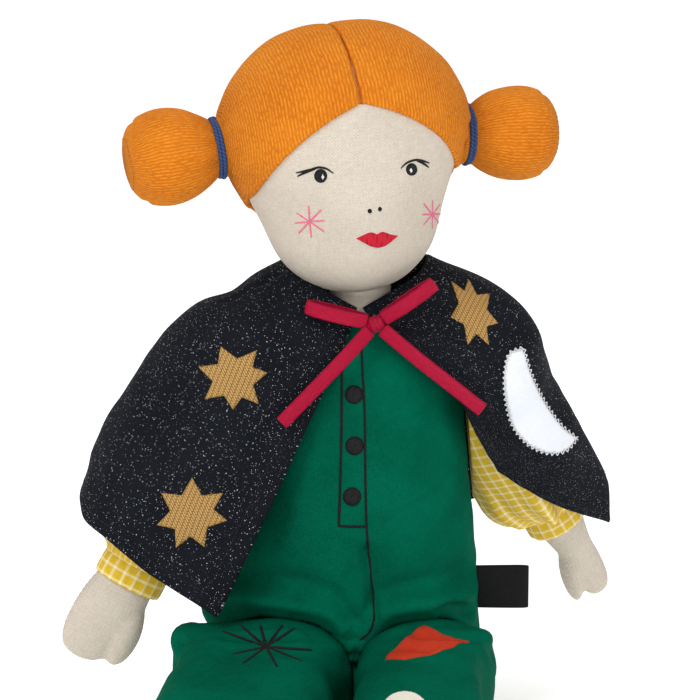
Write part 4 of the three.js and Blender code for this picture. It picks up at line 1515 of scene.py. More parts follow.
@dataclass
class Torso:
    """The stuffed torso in the jumpsuit's bodice."""

    height: float = 184.0
    lean: float = 0.09
    axis_y: float = -11.0
    seat: Pair = (84.0, 58.0)
    hip: Pair = (108.0, 79.0)
    chest: Pair = (92.0, 62.0)
    shoulder_width: float = 90.0
    collar: Pair = (44.0, 33.0)
    neck_hole: float = 13.6
    hip_x: float = 31.2
    hip_y: float = -44.0
    hip_z: float = 31.0
    hip_pocket: float = 31.1
    hip_ball: float = 30.5
    neck_x: float = 2.0
    wall: float = 1.2
    sheet: Pair = (0.34, 0.25)
    lining_inset: float = 6.0
    lining_wall: float = 1.0

    def stations(self) -> list[Point]:
        """Height, half-width and half-depth from the seat to the collar."""
        h, (sw, sd), (hw, hd), (cw, cd) = self.height, self.seat, self.hip, self.chest
        return [
            (0, sw / 2, sd / 2),
            (0.07 * h, 0.95 * hw / 2, 0.92 * hd / 2),
            (0.2 * h, hw / 2, hd / 2),
            (0.45 * h, (hw + cw) / 4 + 1, (hd + cd) / 4 + 2),
            (0.78 * h, cw / 2, cd / 2),
            (0.9 * h, self.shoulder_width / 2, 0.43 * cd),
            (0.97 * h, 0.4 * self.shoulder_width, 0.34 * cd),
            (h, self.collar[0] / 2, self.collar[1] / 2),
        ]

    def axis_at(self, z: Array) -> Array:
        """The middle of the torso at a height."""
        return self.axis_y + self.lean * np.asarray(z, float)

    def halves(self, z: Array) -> tuple[Array, Array]:
        """Half the width and half the depth at a height."""
        table = np.array(self.stations(), float)
        return np.interp(z, table[:, 0], table[:, 1]), np.interp(z, table[:, 0], table[:, 2])

    def thigh_top(self, x: Array, square: float = 2.25, wide: float = 1.0) -> Array:
        """How high the trouser legs reach at a distance from the middle.

        Args:
            x: the distance, to either side.
            square: 2 for a round top, more for a squarer one.
            wide: how much the top is drawn out beyond the hip.

        Returns:
            The height.
        """
        aside = np.abs(x) - self.hip_x
        share = np.clip(np.abs(aside / self.hip_ball) / np.where(aside > 0, wide, 1.0), 0, 1)
        return self.hip_z + self.hip_ball * (1 - share**square) ** (1 / square)

    def net(self, inset: float, cols: int = 144) -> Net:
        """The torso's outside, from under the seat to the neck hole.

        Args:
            inset: how far inside the bodice it lies.
            cols: points round it.

        Returns:
            The net.
        """
        curve = catmull(np.array(self.stations(), float)[:, [1, 2, 0]], 400)
        z = np.concatenate([np.linspace(0, 30, 14), np.linspace(32, 70, 46), np.linspace(72, 184, 58)])
        wide = np.interp(z, curve[:, 2], curve[:, 0]) - inset
        deep = np.interp(z, curve[:, 2], curve[:, 1]) - inset
        rise = np.interp(z, (0, self.height), (inset, self.height - inset))
        shares = np.linspace(0, 1, 12)[:-1]
        hole = np.linspace(1, 0, 8)[1:]
        inner = self.neck_hole / np.array(self.collar) * 2
        wide = np.concatenate([wide[0] * shares, wide, wide[-1] * (inner[0] + (1 - inner[0]) * hole)])
        deep = np.concatenate([deep[0] * shares, deep, deep[-1] * (inner[1] + (1 - inner[1]) * hole)])
        rise = np.concatenate([np.full(11, rise[0]), rise, rise[-1] - 0.6 * (1 - hole)])
        angle = angles(cols)
        aside = np.concatenate([np.zeros(len(rise) - len(hole)), self.neck_x * (1 - hole)])
        x = wide[:, None] * np.cos(angle) + aside[:, None]
        y = deep[:, None] * np.sin(angle) + self.axis_at(rise)[:, None]
        z = np.repeat(rise[:, None], cols, 1)
        above = np.clip(z - self.hip_z, 0, None)
        aside = np.abs(x) - self.hip_x if inset == 0 else 0
        room = (self.hip_pocket + 1.2 + inset) ** 2 - above**2 - aside**2
        room = np.where(room > 0, self.hip_y + np.sqrt(np.maximum(room, 0)), -1e3)
        tuck = ease(3, -1, z - self.thigh_top(x)) if inset == 0 else 1
        y = y + tuck * np.maximum(room - y, 0)
        v = np.concatenate([[0.0], np.cumsum(np.hypot(np.diff(rise), np.diff(deep)))])
        u = (np.arange(cols + 1) / cols * 2 * math.pi) * self.hip[0] * 0.44
        return Net(np.stack([x, y, z], 2), over_grid(u, v), True)

    def build(self) -> Object:
        """Makes the bodice over the stuffed linen torso, with its placket, buttons and seams.

        Returns:
            The bodice.
        """
        net = self.net(0.0)
        self._blouse(net)
        fold = ease(62, 70, net.points[..., 2]) * ease(190, 150, net.points[..., 2])
        slow, fine = bumps(net.points * [1, 1, 0.35], 17, 3.1), bumps(net.points, 7, 8.2)
        net.swell(fold * (0.9 * slow + 0.35 * fine))
        for crease in (
            Crease(((-50, -28, 86), (-34, -46, 78), (-12, -50, 74)), 1.7, 3.4),
            Crease(((52, -24, 88), (40, -44, 79), (16, -50, 74)), 2.2, 3.4, 0.4),
            Crease(((53, -12, 100), (47, -34, 92), (30, -46, 87)), 1.5, 3.2, 0.4),
            Crease(((-53, -10, 106), (-48, -28, 98), (-40, -38, 93)), 1.0, 3.0),
            Crease(((44, -22, 140), (40, -32, 126), (30, -38, 116)), 1.0, 3.4, 0.4),
            Crease(((-20, 30, 60), (0, 33, 57), (22, 30, 61)), 1.2, 4.0),
            Crease(((-44, 14, 40), (-30, 27, 31), (-12, 32, 27)), 1.5, 4.2, 0.4),
            Crease(((46, 12, 44), (30, 27, 34), (10, 32, 29)), 1.6, 4.2, 0.4),
            Crease(((-52, 0, 74), (-46, 17, 64), (-33, 27, 58)), 1.2, 3.8, 0.4),
            Crease(((53, 0, 70), (47, 16, 60), (36, 25, 55)), 1.3, 3.8, 0.4),
            Crease(((0.0, 29.5, 6), (0.0, 33.5, 34), (0.0, 32, 70), (0.0, 30, 120)), 0.7, 1.2, 0.3),
        ):
            crease.press(net)
        self._lap_folds(net)
        bodice = Work().net(net, self.wall).make("bodice")
        hold = Hold("torso")
        dress(bodice, GREEN, hold, ("jumpsuit_bodice",))
        lining = Work().net(self.net(self.lining_inset, cols=48), self.lining_wall).make("torso_lining")
        dress(lining, LINEN, hold, ("torso_skin", "torso_stuffing"))
        self._placket(bodice, hold)
        return bodice

    def _blouse(self, net: Net) -> None:
        """Rolls the cloth over the tops of the thighs, and spreads it at the hips.

        Args:
            net: the bodice, which is changed.
        """
        x, y, z = (net.points[..., k] for k in range(3))
        front = ease(10, -18, y - self.axis_at(z))
        over = z - self.thigh_top(x, 3.4, 1.18)
        uneven = 1 + 0.4 * bumps(net.points * [1, 1, 0], 15, 5.6)
        roll = 5.2 * np.exp(-(((over - 5.5) / 4.4) ** 2)) - 2.2 * np.exp(-(((over - 15) / 4.0) ** 2))
        beside = 1 - 0.8 * ease(42, 54, x)
        net.swell(front * roll * uneven * beside * ease(-3, 1, over))
        spread = np.exp(-(((z - 58) / 15) ** 2) - ((y + 14) / 20) ** 2)
        net.points[..., 0] += spread * np.where(x < 0, -13 * ease(-30, -52, x), -1 * ease(30, 52, x))

    def _lap_folds(self, net: Net) -> None:
        """Draws the cloth in along the middle seam of the lap, and folds it beside the left hip."""
        Crease(net.seen_line(LAP_SEAM), 2.4, 2.2, 0.5).press(net)
        Crease(net.seen_line(HIP_FOLD), 1.8, 2.4, 0.5).press(net)

    def _placket(self, bodice: Object, hold: Hold) -> None:
        """Embroiders the placket, the middle seams and three buttons.

        Args:
            bodice: the cloth that carries them.
            hold: what they move with.
        """
        carrier = Carrier(bodice)
        lines, seam = Needle(carrier), Needle(carrier)
        for pixels, width in ((PLACKET_EDGE, 1.1), (PLACKET_FOOT, 1.1), (MIDDLE_SEAM, 1.0)):
            lines.draw(pixels, width, height=0.7)
        lines.sew("placket_stitching", BLACK_THREAD, hold)
        for x in (-1.6, 1.6):
            down = [carrier.nearest((x, 80, z)) for z in np.arange(8, 125, 3.0)]
            seam.run(*apart(down), stitch=2.2, gap=0.9, width=0.42)
        seam.sew("back_seam_stitching", GREEN_THREAD, hold)
        for name, pixel in BUTTONS.items():
            button = Needle(carrier).fill(oval(pixel, BUTTON_HALVES, 28), height=1.3, grain=35, roll=2.2)
            button.sew(f"button_{name}", BLACK_THREAD, hold)


@dataclass
class Neck:
    """The stuffed linen neck."""

    place: Pair = (2.0, 5.56)
    radius: float = 13.0
    foot: float = 178.4
    pivot_z: float = 193.0

    def build(self) -> None:
        """Makes the neck, a little creased under the chin."""
        r, foot, top = self.radius, self.foot, self.pivot_z
        stations = rounds(
            (foot, 0), (foot + 0.3, 0.8 * r), (foot + 1.5, r), (184, r),
            (190, 0.985 * r), (top, r), (top + 0.7 * r, 0.7 * r), (top + r, 0),
        )
        net = tube_net(stations, rows=40, cols=48).placed(np.eye(3), (*self.place, 0))
        net.swell(0.35 * bumps(net.points * [1, 1, 2.2], 8, 4.4))
        neck = Work().net(net).make("neck_skin")
        dress(neck, LINEN, Hold("neck"), ("neck",))


@dataclass
class Head:
    """The stuffed linen head with its velour wig, buns and embroidered face."""

    origin: Triple = (2.0, 5.56, 191.5)
    turn: float = 13.0
    roll: float = -6.0
    height: float = 110.5
    width: float = 101.0
    depth: float = 88.0
    face_width: float = 78.0
    peak: float = 86.0
    side_height: float = 40.0
    nape: float = 16.0
    pile: float = 2.0
    bun_length: float = 39.0
    bun_radius: float = 19.8
    bun_waist: float = 11.3
    bun_heights: Pair = (59.0, 68.5)
    bun_insets: Pair = (1.35, 0.0)
    bun_droops: Pair = (7.0, 2.0)
    tie_radius: float = 0.85
    hair_wall: float = 1.4
    hold: Hold = Hold("head")

    def axes(self) -> Array:
        """The head's own axes in the doll's frame.

        Returns:
            A matrix whose columns they are.
        """
        a, b = math.radians(self.turn), math.radians(self.roll)
        about_z = np.array([[math.cos(a), -math.sin(a), 0], [math.sin(a), math.cos(a), 0], [0, 0, 1]])
        about_y = np.array([[math.cos(b), 0, math.sin(b)], [0, 1, 0], [-math.sin(b), 0, math.cos(b)]])
        return about_z @ about_y

    def stations(self) -> list[Point]:
        """Height, half-width and half-depth from the chin to the crown."""
        h, w, d, f = self.height, self.width / 2, self.depth / 2, self.face_width / 2
        return [
            (0, 0, 0),
            (0.02 * h, 0.3 * f, 0.3 * d),
            (0.06 * h, 0.56 * f, 0.52 * d),
            (0.16 * h, 0.82 * f, 0.75 * d),
            (0.33 * h, f, 0.9 * d),
            (0.5 * h, (f + 2 * w) / 3, 0.98 * d),
            (0.64 * h, w, d),
            (0.79 * h, 0.9 * w, 0.92 * d),
            (0.91 * h, 0.64 * w, 0.66 * d),
            (0.975 * h, 0.34 * w, 0.35 * d),
            (h, 0, 0),
        ]

    def profile(self) -> Array:
        """Half-width, half-depth and height at even steps from the chin to the crown."""
        return catmull(np.array(self.stations(), float)[:, [1, 2, 0]], 400)

    def bun_frame(self, side: Side) -> tuple[Array, Array]:
        """How a bun lies.

        Args:
            side: which bun.

        Returns:
            Its axes, with its length last, and the middle of its tie.
        """
        droop = math.radians(side.pick(self.bun_droops))
        aim = (side.value * math.cos(droop), 0, -math.sin(droop))
        reach = self.width / 2 + 2.8 - side.pick(self.bun_insets)
        place = np.array([side.value * reach, 0, side.pick(self.bun_heights)])
        return self.axes() @ lay_along(aim, (0, 0, 1)), np.array(self.origin) + self.axes() @ place

    def build(self) -> None:
        """Makes the head, wig, buns and ties, and embroiders the face."""
        net = tube_net(self.stations(), rows=110, cols=128).placed(self.axes(), self.origin)
        head = Work().net(net).make("head_cover")
        dress(head, LINEN, self.hold, ("head_skin", "head_stuffing"))
        for side in Side:
            self._hair(side)
            self._bun(side)
            self._tie(side)
        self._face(Carrier(head))

    def _hairline(self, angle: Array) -> Array:
        """Where along the profile the wig starts.

        Args:
            angle: angles from the face round to the nape.

        Returns:
            A place along the profile for each angle.
        """
        curve = self.profile()
        t = np.linspace(0, 1, 60)
        edge_x = 2 * t * (1 - t) * 0.396 * self.width + t * t * 0.436 * self.width
        edge_z = (1 - t) ** 2 * self.peak + 2 * t * (1 - t) * 0.837 * self.peak + t * t * self.side_height
        starts = []
        for a in angle:
            if a < 0:
                line = np.interp(curve[:, 0] * math.cos(a), edge_x, edge_z)
                starts.append(np.argmax((curve[:, 2] >= line) & (curve[:, 2] > 20)))
            else:
                low = self.side_height - (self.side_height - self.nape) * ease(0.1, 1.1, np.array(a))
                starts.append(np.argmax(curve[:, 2] >= low))
        smooth = np.array(starts, float)
        for _ in range(4):
            smooth[1:-1] = (smooth[:-2] + 2 * smooth[1:-1] + smooth[2:]) / 4
        return smooth

    def _hair(self, side: Side) -> None:
        """Makes half of the wig, from the parting round to the back.

        Args:
            side: which half.
        """
        curve = self.profile()
        angle = np.linspace(-math.pi / 2, math.pi / 2, 90)
        start = self._hairline(angle)
        share = np.linspace(0, 1, 76) ** 1.15
        at = start[None] + (len(curve) - 1 - start[None]) * share[:, None]
        wide, deep, z = (np.interp(at, np.arange(len(curve)), curve[:, k]) for k in range(3))
        x = np.maximum(wide * np.cos(angle), 0.06)
        y = deep * np.sin(angle)
        points = np.stack([x, y, z], 2)
        steps = np.linalg.norm(np.diff(points, axis=0, prepend=points[:1]), axis=2).cumsum(0)
        edge = np.sqrt(1 - (1 - np.clip(steps / 3.6, 0, 1)) ** 2)
        part = np.sqrt(1 - (1 - np.clip((x - 0.06) / 1.5, 0, 1)) ** 2)
        puff = 1.6 * ease(70, 108, z) * np.sin(np.clip(x / 46, 0, 1) * math.pi)
        radius = self.width / 2 + 1
        over = np.arctan2(z - 60, -y)
        over = np.where(over < -math.pi / 2, over + 2 * math.pi, over)
        cloth = np.stack([radius * np.arcsin(np.clip(x / radius, -1, 1)), radius * over], 2)
        net = Net(points, cloth)
        rise = z - side.pick(self.bun_heights)
        gather = np.hypot(y, rise)
        pleat = np.cos(13 * np.arctan2(rise, y)) * np.exp(-((gather - 13) / 6) ** 2) * (x > 30)
        net.swell(0.45 + self.pile * edge * part + puff * part + 0.5 * pleat)
        net.swell(0.25 * bumps(net.points, 9, 5.0 + side.value) * edge)
        if side is Side.RIGHT:
            net = Net((net.points * [-1, 1, 1])[:, ::-1], (net.cloth * [-1, 1])[:, ::-1])
        hair = Work().net(net.placed(self.axes(), self.origin), self.hair_wall).make(f"wig_{side.label}")
        dress(hair, ORANGE, self.hold, (f"hair_{side.label}",))

    def _bun(self, side: Side) -> None:
        """Makes one stuffed bun, gathered at its tie, and sews the seam that closes its outer end.

        Args:
            side: which bun.
        """
        n, r, w = self.bun_length, self.bun_radius, self.bun_waist
        stations = rounds(
            (-7, 0.9 * w), (-2.2, 1.1 * w), (0, 0.97 * w), (0.05 * n, 1.03 * w), (0.17 * n, 0.77 * r),
            (0.31 * n, 0.92 * r), (0.48 * n, r), (0.64 * n, r), (0.8 * n, 0.91 * r), (0.91 * n, 0.71 * r),
            (0.975 * n, 0.43 * r), (n, 0),
        )
        net = tube_net(stations, rows=80, cols=96)
        along = net.points[..., 2]
        turn = np.arctan2(net.points[..., 1], net.points[..., 0])
        pleat = np.cos(12 * turn + 1.3 * np.sin(2 * turn)) * ease(0.4, 3.5, along)
        pleat = pleat * np.exp(-np.clip(along - 0.06 * n, 0, None) / 6.5)
        net.swell(0.7 * pleat - 0.7 * np.exp(-(((along - 0.84 * n) / 1.1) ** 2)))
        uneven = 0.4 * bumps(net.points, 13, 2.0 + side.value)
        net.swell(uneven * ease(2, 10, along) * ease(n, 0.9 * n, along))
        net = net.placed(*self.bun_frame(side))
        bun = Work().net(net).make(f"bun_cover_{side.label}")
        dress(bun, ORANGE, self.hold, (f"bun_{side.label}", f"bun_stuffing_{side.label}"))
        row = int(np.argmin(np.abs(net.cloth[:, 0, 1] - 0.79 * net.cloth[-1, 0, 1])))
        seam = Needle().ring(net, row, stitch=1.5, gap=0.9, width=0.4)
        seam.sew(f"bun_seam_{side.label}", ORANGE_THREAD, self.hold)

    def _tie(self, side: Side) -> None:
        """Winds the cord twice round a bun, with its ends tucked under.

        Args:
            side: which bun.
        """
        turns = np.linspace(0, 4 * math.pi, 120)
        ring = self.bun_waist + 0.9 + 0.25 * np.sin(turns / 2)
        step = -0.75 + 1.5 * ease(0.42, 0.58, turns / (4 * math.pi)) + 0.15
        local = np.stack([ring * np.cos(turns), ring * np.sin(turns), step], 1)
        axes, at = self.bun_frame(side)
        line = local @ axes.T + at
        out = (local * [1, 1, 0]) @ axes.T
        thick = np.full(len(line), 2 * self.tie_radius)
        work = Work()
        work.tube(line, unit(out), thick, thick, 10)
        tie = work.make(f"bun_cord_{side.label}")
        dress(tie, NAVY_CORD, self.hold, (f"bun_tie_{side.label}",))

    def _face(self, carrier: Carrier) -> None:
        """Embroiders the eyes, nose, lips and cheeks.

        Args:
            carrier: the head.
        """
        black, white, cheeks = Needle(carrier), Needle(carrier), Needle(carrier)
        for middle, halves in EYES:
            black.fill(oval(middle, halves, 26), height=0.55, grain=80)
        for lash in LASHES:
            black.draw(lash, width=1.0, height=0.6, taper=0.55)
        for middle, halves in NOSTRILS:
            black.fill(oval(middle, halves, 16), height=0.5, grain=0, roll=0.6)
        for middle, halves in HIGHLIGHTS:
            white.fill(oval(middle, halves, 14), height=0.85, grain=80, roll=0.5)
        for middle, ends in zip(CHEEK_MIDDLES, CHEEK_ENDS):
            cheeks.rays(middle, ends, width=0.75, height=0.5, taper=0.3)
        black.sew("face_black_stitching", BLACK_THREAD, self.hold)
        white.sew("eye_highlights", WHITE_THREAD, self.hold)
        Needle(carrier).fill(LIPS, height=0.7, grain=90, roll=1.0).sew("lips", LIP_THREAD, self.hold)
        cheeks.sew("cheek_stars", PINK_THREAD, self.hold)


@dataclass
class Arm:
    """One stuffed arm with its gathered sleeve and cuff."""

    side: Side
    aim: Triple
    twist: float
    shoulder: Triple = (45.0, 4.0, 164.0)
    length: float = 149.0
    radius: float = 12.5
    wrist: Pair = (24.5, 19.0)
    hand: Pair = (25.0, 16.0)
    thumb: float = 15.0
    thumb_back: float = 18.0
    thumb_side: float = 0.43
    thumb_lean: float = 0.22
    sleeve_radius: float = 24.0
    root_radius: float = 16.0
    sleeve_end: float = 103.0
    cuff_length: float = 10.0
    cuff_wall: float = 1.5
    sleeve_wall: float = 1.0
    sheet: Pair = (0.15, 0.125)
    most_cloth: float = 0.0187
    bend: float = -5.0

    @property
    def place(self) -> Array:
        """The shoulder of this side."""
        return np.array(self.side.at(self.shoulder))

    def axes(self) -> Array:
        """The arm's width, depth and length in the doll's frame."""
        return lay_along(self.aim, (-self.side.value, 0, 0), self.side.value * self.twist)

    def hold(self) -> Hold:
        """All of the arm and its sleeve swing together."""
        return Hold(f"{self.side.label}_arm")

    def build(self, torso: Torso) -> None:
        """Makes the arm, sleeve and cuff.

        Args:
            torso: the torso that they hang beside.
        """
        self._skin(torso)
        self._sleeve(torso)
        self._cuff()

    def _clear(self, points: Array, torso: Torso, gap: float) -> Array:
        """Points kept outside the torso's side.

        Args:
            points: the points.
            torso: the torso.
            gap: the least distance from its side.

        Returns:
            The moved points.
        """
        wide, _ = torso.halves(np.minimum(points[..., 2], self.shoulder[2] - 8))
        s = self.side.value
        moved = points.copy()
        moved[..., 0] = s * np.maximum(s * points[..., 0], np.minimum(wide + gap, self.shoulder[0] + 9))
        return moved

    def _skin(self, torso: Torso) -> None:
        """Makes the stuffed arm and its mitten hand.

        Args:
            torso: the torso that the arm lies beside.
        """
        r, n = self.radius, self.length
        (ww, wd), (hw, hd) = self.wrist, self.hand
        stations = [
            *rounds((-0.9 * r, 0), (-0.7 * r, 0.6 * r), (-0.3 * r, 0.9 * r), (0.2 * r, r)),
            (0.4 * n, r, 0.92 * r),
            (self.sleeve_end + 0.5 * self.cuff_length, 0.48 * ww, 0.5 * wd),
            (0.8 * n, 0.5 * hw, 0.55 * hd),
            (0.87 * n, 0.5 * hw, 0.5 * hd),
            (0.95 * n, 0.42 * hw, 0.42 * hd),
            (0.985 * n, 0.28 * hw, 0.26 * hd),
            (n, 0, 0),
        ]
        arm = tube_net(stations, rows=110, cols=48, square=2.2)
        grip = (
            (-1, 0, 0), (-0.7, 0.16, 0.32), (0, 0.25, 0.45), (0.6, 0.2, 0.36), (0.9, 0.1, 0.18), (1, 0, 0),
        )
        lean = lay_along((self.thumb_lean, 0, 1), (1, 0, 0))
        thumb = tube_net(scaled(grip, self.thumb, hw, hd), rows=40, cols=32)
        thumb = thumb.placed(lean, (self.thumb_side * hw, 0, n - self.thumb_back))
        nets = [x.placed(self.axes(), self.place) for x in (arm, thumb)]
        nets[0].points = self._clear(nets[0].points, torso, 2.0)
        start = self.sleeve_end + 4
        for net in nets:
            reach = (net.points - self.place) @ self.axes()[:, 2]
            net.points[..., 0] += self.bend * np.clip((reach - start) / (n - start), 0, 1)
        obj = fused(f"arm_{self.side.label}", nets, voxel=1.1, rounds=9)
        axes, place = self.axes(), self.place
        set_cloth(obj, lambda p: ((p - place) @ axes)[:, [0, 2]])
        nodes = (f"arm_skin_{self.side.label}", f"arm_stuffing_{self.side.label}")
        dress(obj, LINEN, self.hold(), nodes)
        self._seam(obj)

    def _seam(self, obj: Object) -> None:
        """Sews the seam along the outer edge of the hand.

        Args:
            obj: the arm.
        """
        carrier, axes, aside = Carrier(obj), self.axes(), -0.8 * self.hand[0]
        places = np.linspace(0.72, 0.97, 40) * self.length
        found = [carrier.nearest(self.place + axes @ np.array([aside, 0, s])) for s in places]
        seam = Needle(carrier).run(*apart(found), stitch=1.6, gap=0.7, width=0.4)
        seam.sew(f"hand_seam_{self.side.label}", LINEN_THREAD, self.hold())

    def _sleeve(self, torso: Torso) -> None:
        """Makes the puffed sleeve, gathered at its cuff.

        Args:
            torso: the torso that the sleeve lies beside.
        """
        root, r, end = self.root_radius, self.sleeve_radius, self.sleeve_end
        ww, wd = self.wrist[0] / 2 + 2.4, self.wrist[1] / 2 + 2.4
        stations = [
            *rounds((-0.5 * root, 0.75 * root), (0, root), (0.12 * end, (root + r) / 2)),
            *rounds((0.36 * end, r), (0.6 * end, r)),
            (0.8 * end, 0.97 * r, 0.94 * r),
            (0.92 * end, 0.84 * r, 0.78 * r),
            (0.985 * end, ww + 1.4, wd + 1.4),
            (end + 1.5, ww - 0.8, wd - 0.8),
        ]
        net = tube_net(stations, rows=110, cols=144)
        along = net.points[..., 2]
        turn = np.arctan2(net.points[..., 1], net.points[..., 0])
        seed = 7.0 + 3 * self.side.value
        wander = 1.7 * np.sin(2 * turn + seed) + 0.8 * np.sin(3 * turn - seed)
        fold = np.cos(6 * turn + wander) + 0.45 * np.cos(14 * turn - wander)
        near = ease(0.45 * end, 0.9 * end, along) * ease(1.02 * end, 0.93 * end, along)
        net.swell(2.3 * fold * near + 0.7 * np.cos(11 * turn + 2 * wander) * ease(30, 0, along))
        net = net.placed(self.axes(), self.place)
        sag = np.sin(np.clip(along / end, 0, 1) * math.pi) ** 1.5 * ease(0.2, -0.9, net.normals()[..., 2])
        net.points[..., 2] -= 4.5 * sag
        net.swell(1.2 * bumps(net.points, 16, seed) * ease(5, 25, along) * ease(end, 0.9 * end, along))
        net.points = np.where((along > 5)[..., None], self._clear(net.points, torso, 1.2), net.points)
        sleeve = Work().net(net, self.sleeve_wall).make(f"puff_sleeve_{self.side.label}")
        dress(sleeve, YELLOW, self.hold(), (f"sleeve_{self.side.label}",))

    def _cuff(self) -> None:
        """Makes the gathered cuff."""
        start, n, wall = self.sleeve_end + 0.2, self.cuff_length, self.cuff_wall
        ww, wd = self.wrist[0] / 2 + 0.9, self.wrist[1] / 2 + 0.9
        shape = ((0, 0.75), (0.12, 1), (0.5, 1.15), (0.88, 1.1), (1, 0.9))
        stations = [(start + s * n, ww + q * wall, wd + q * wall) for s, q in shape]
        net = tube_net(stations, rows=20, cols=120)
        turn = np.arctan2(net.points[..., 1], net.points[..., 0])
        net.swell(0.16 * np.cos(19 * turn + np.sin(3 * turn)) + 0.08 * np.cos(31 * turn))
        cuff = Work().net(net.placed(self.axes(), self.place), wall).make(f"cuff_band_{self.side.label}")
        dress(cuff, YELLOW, self.hold(), (f"cuff_{self.side.label}",))


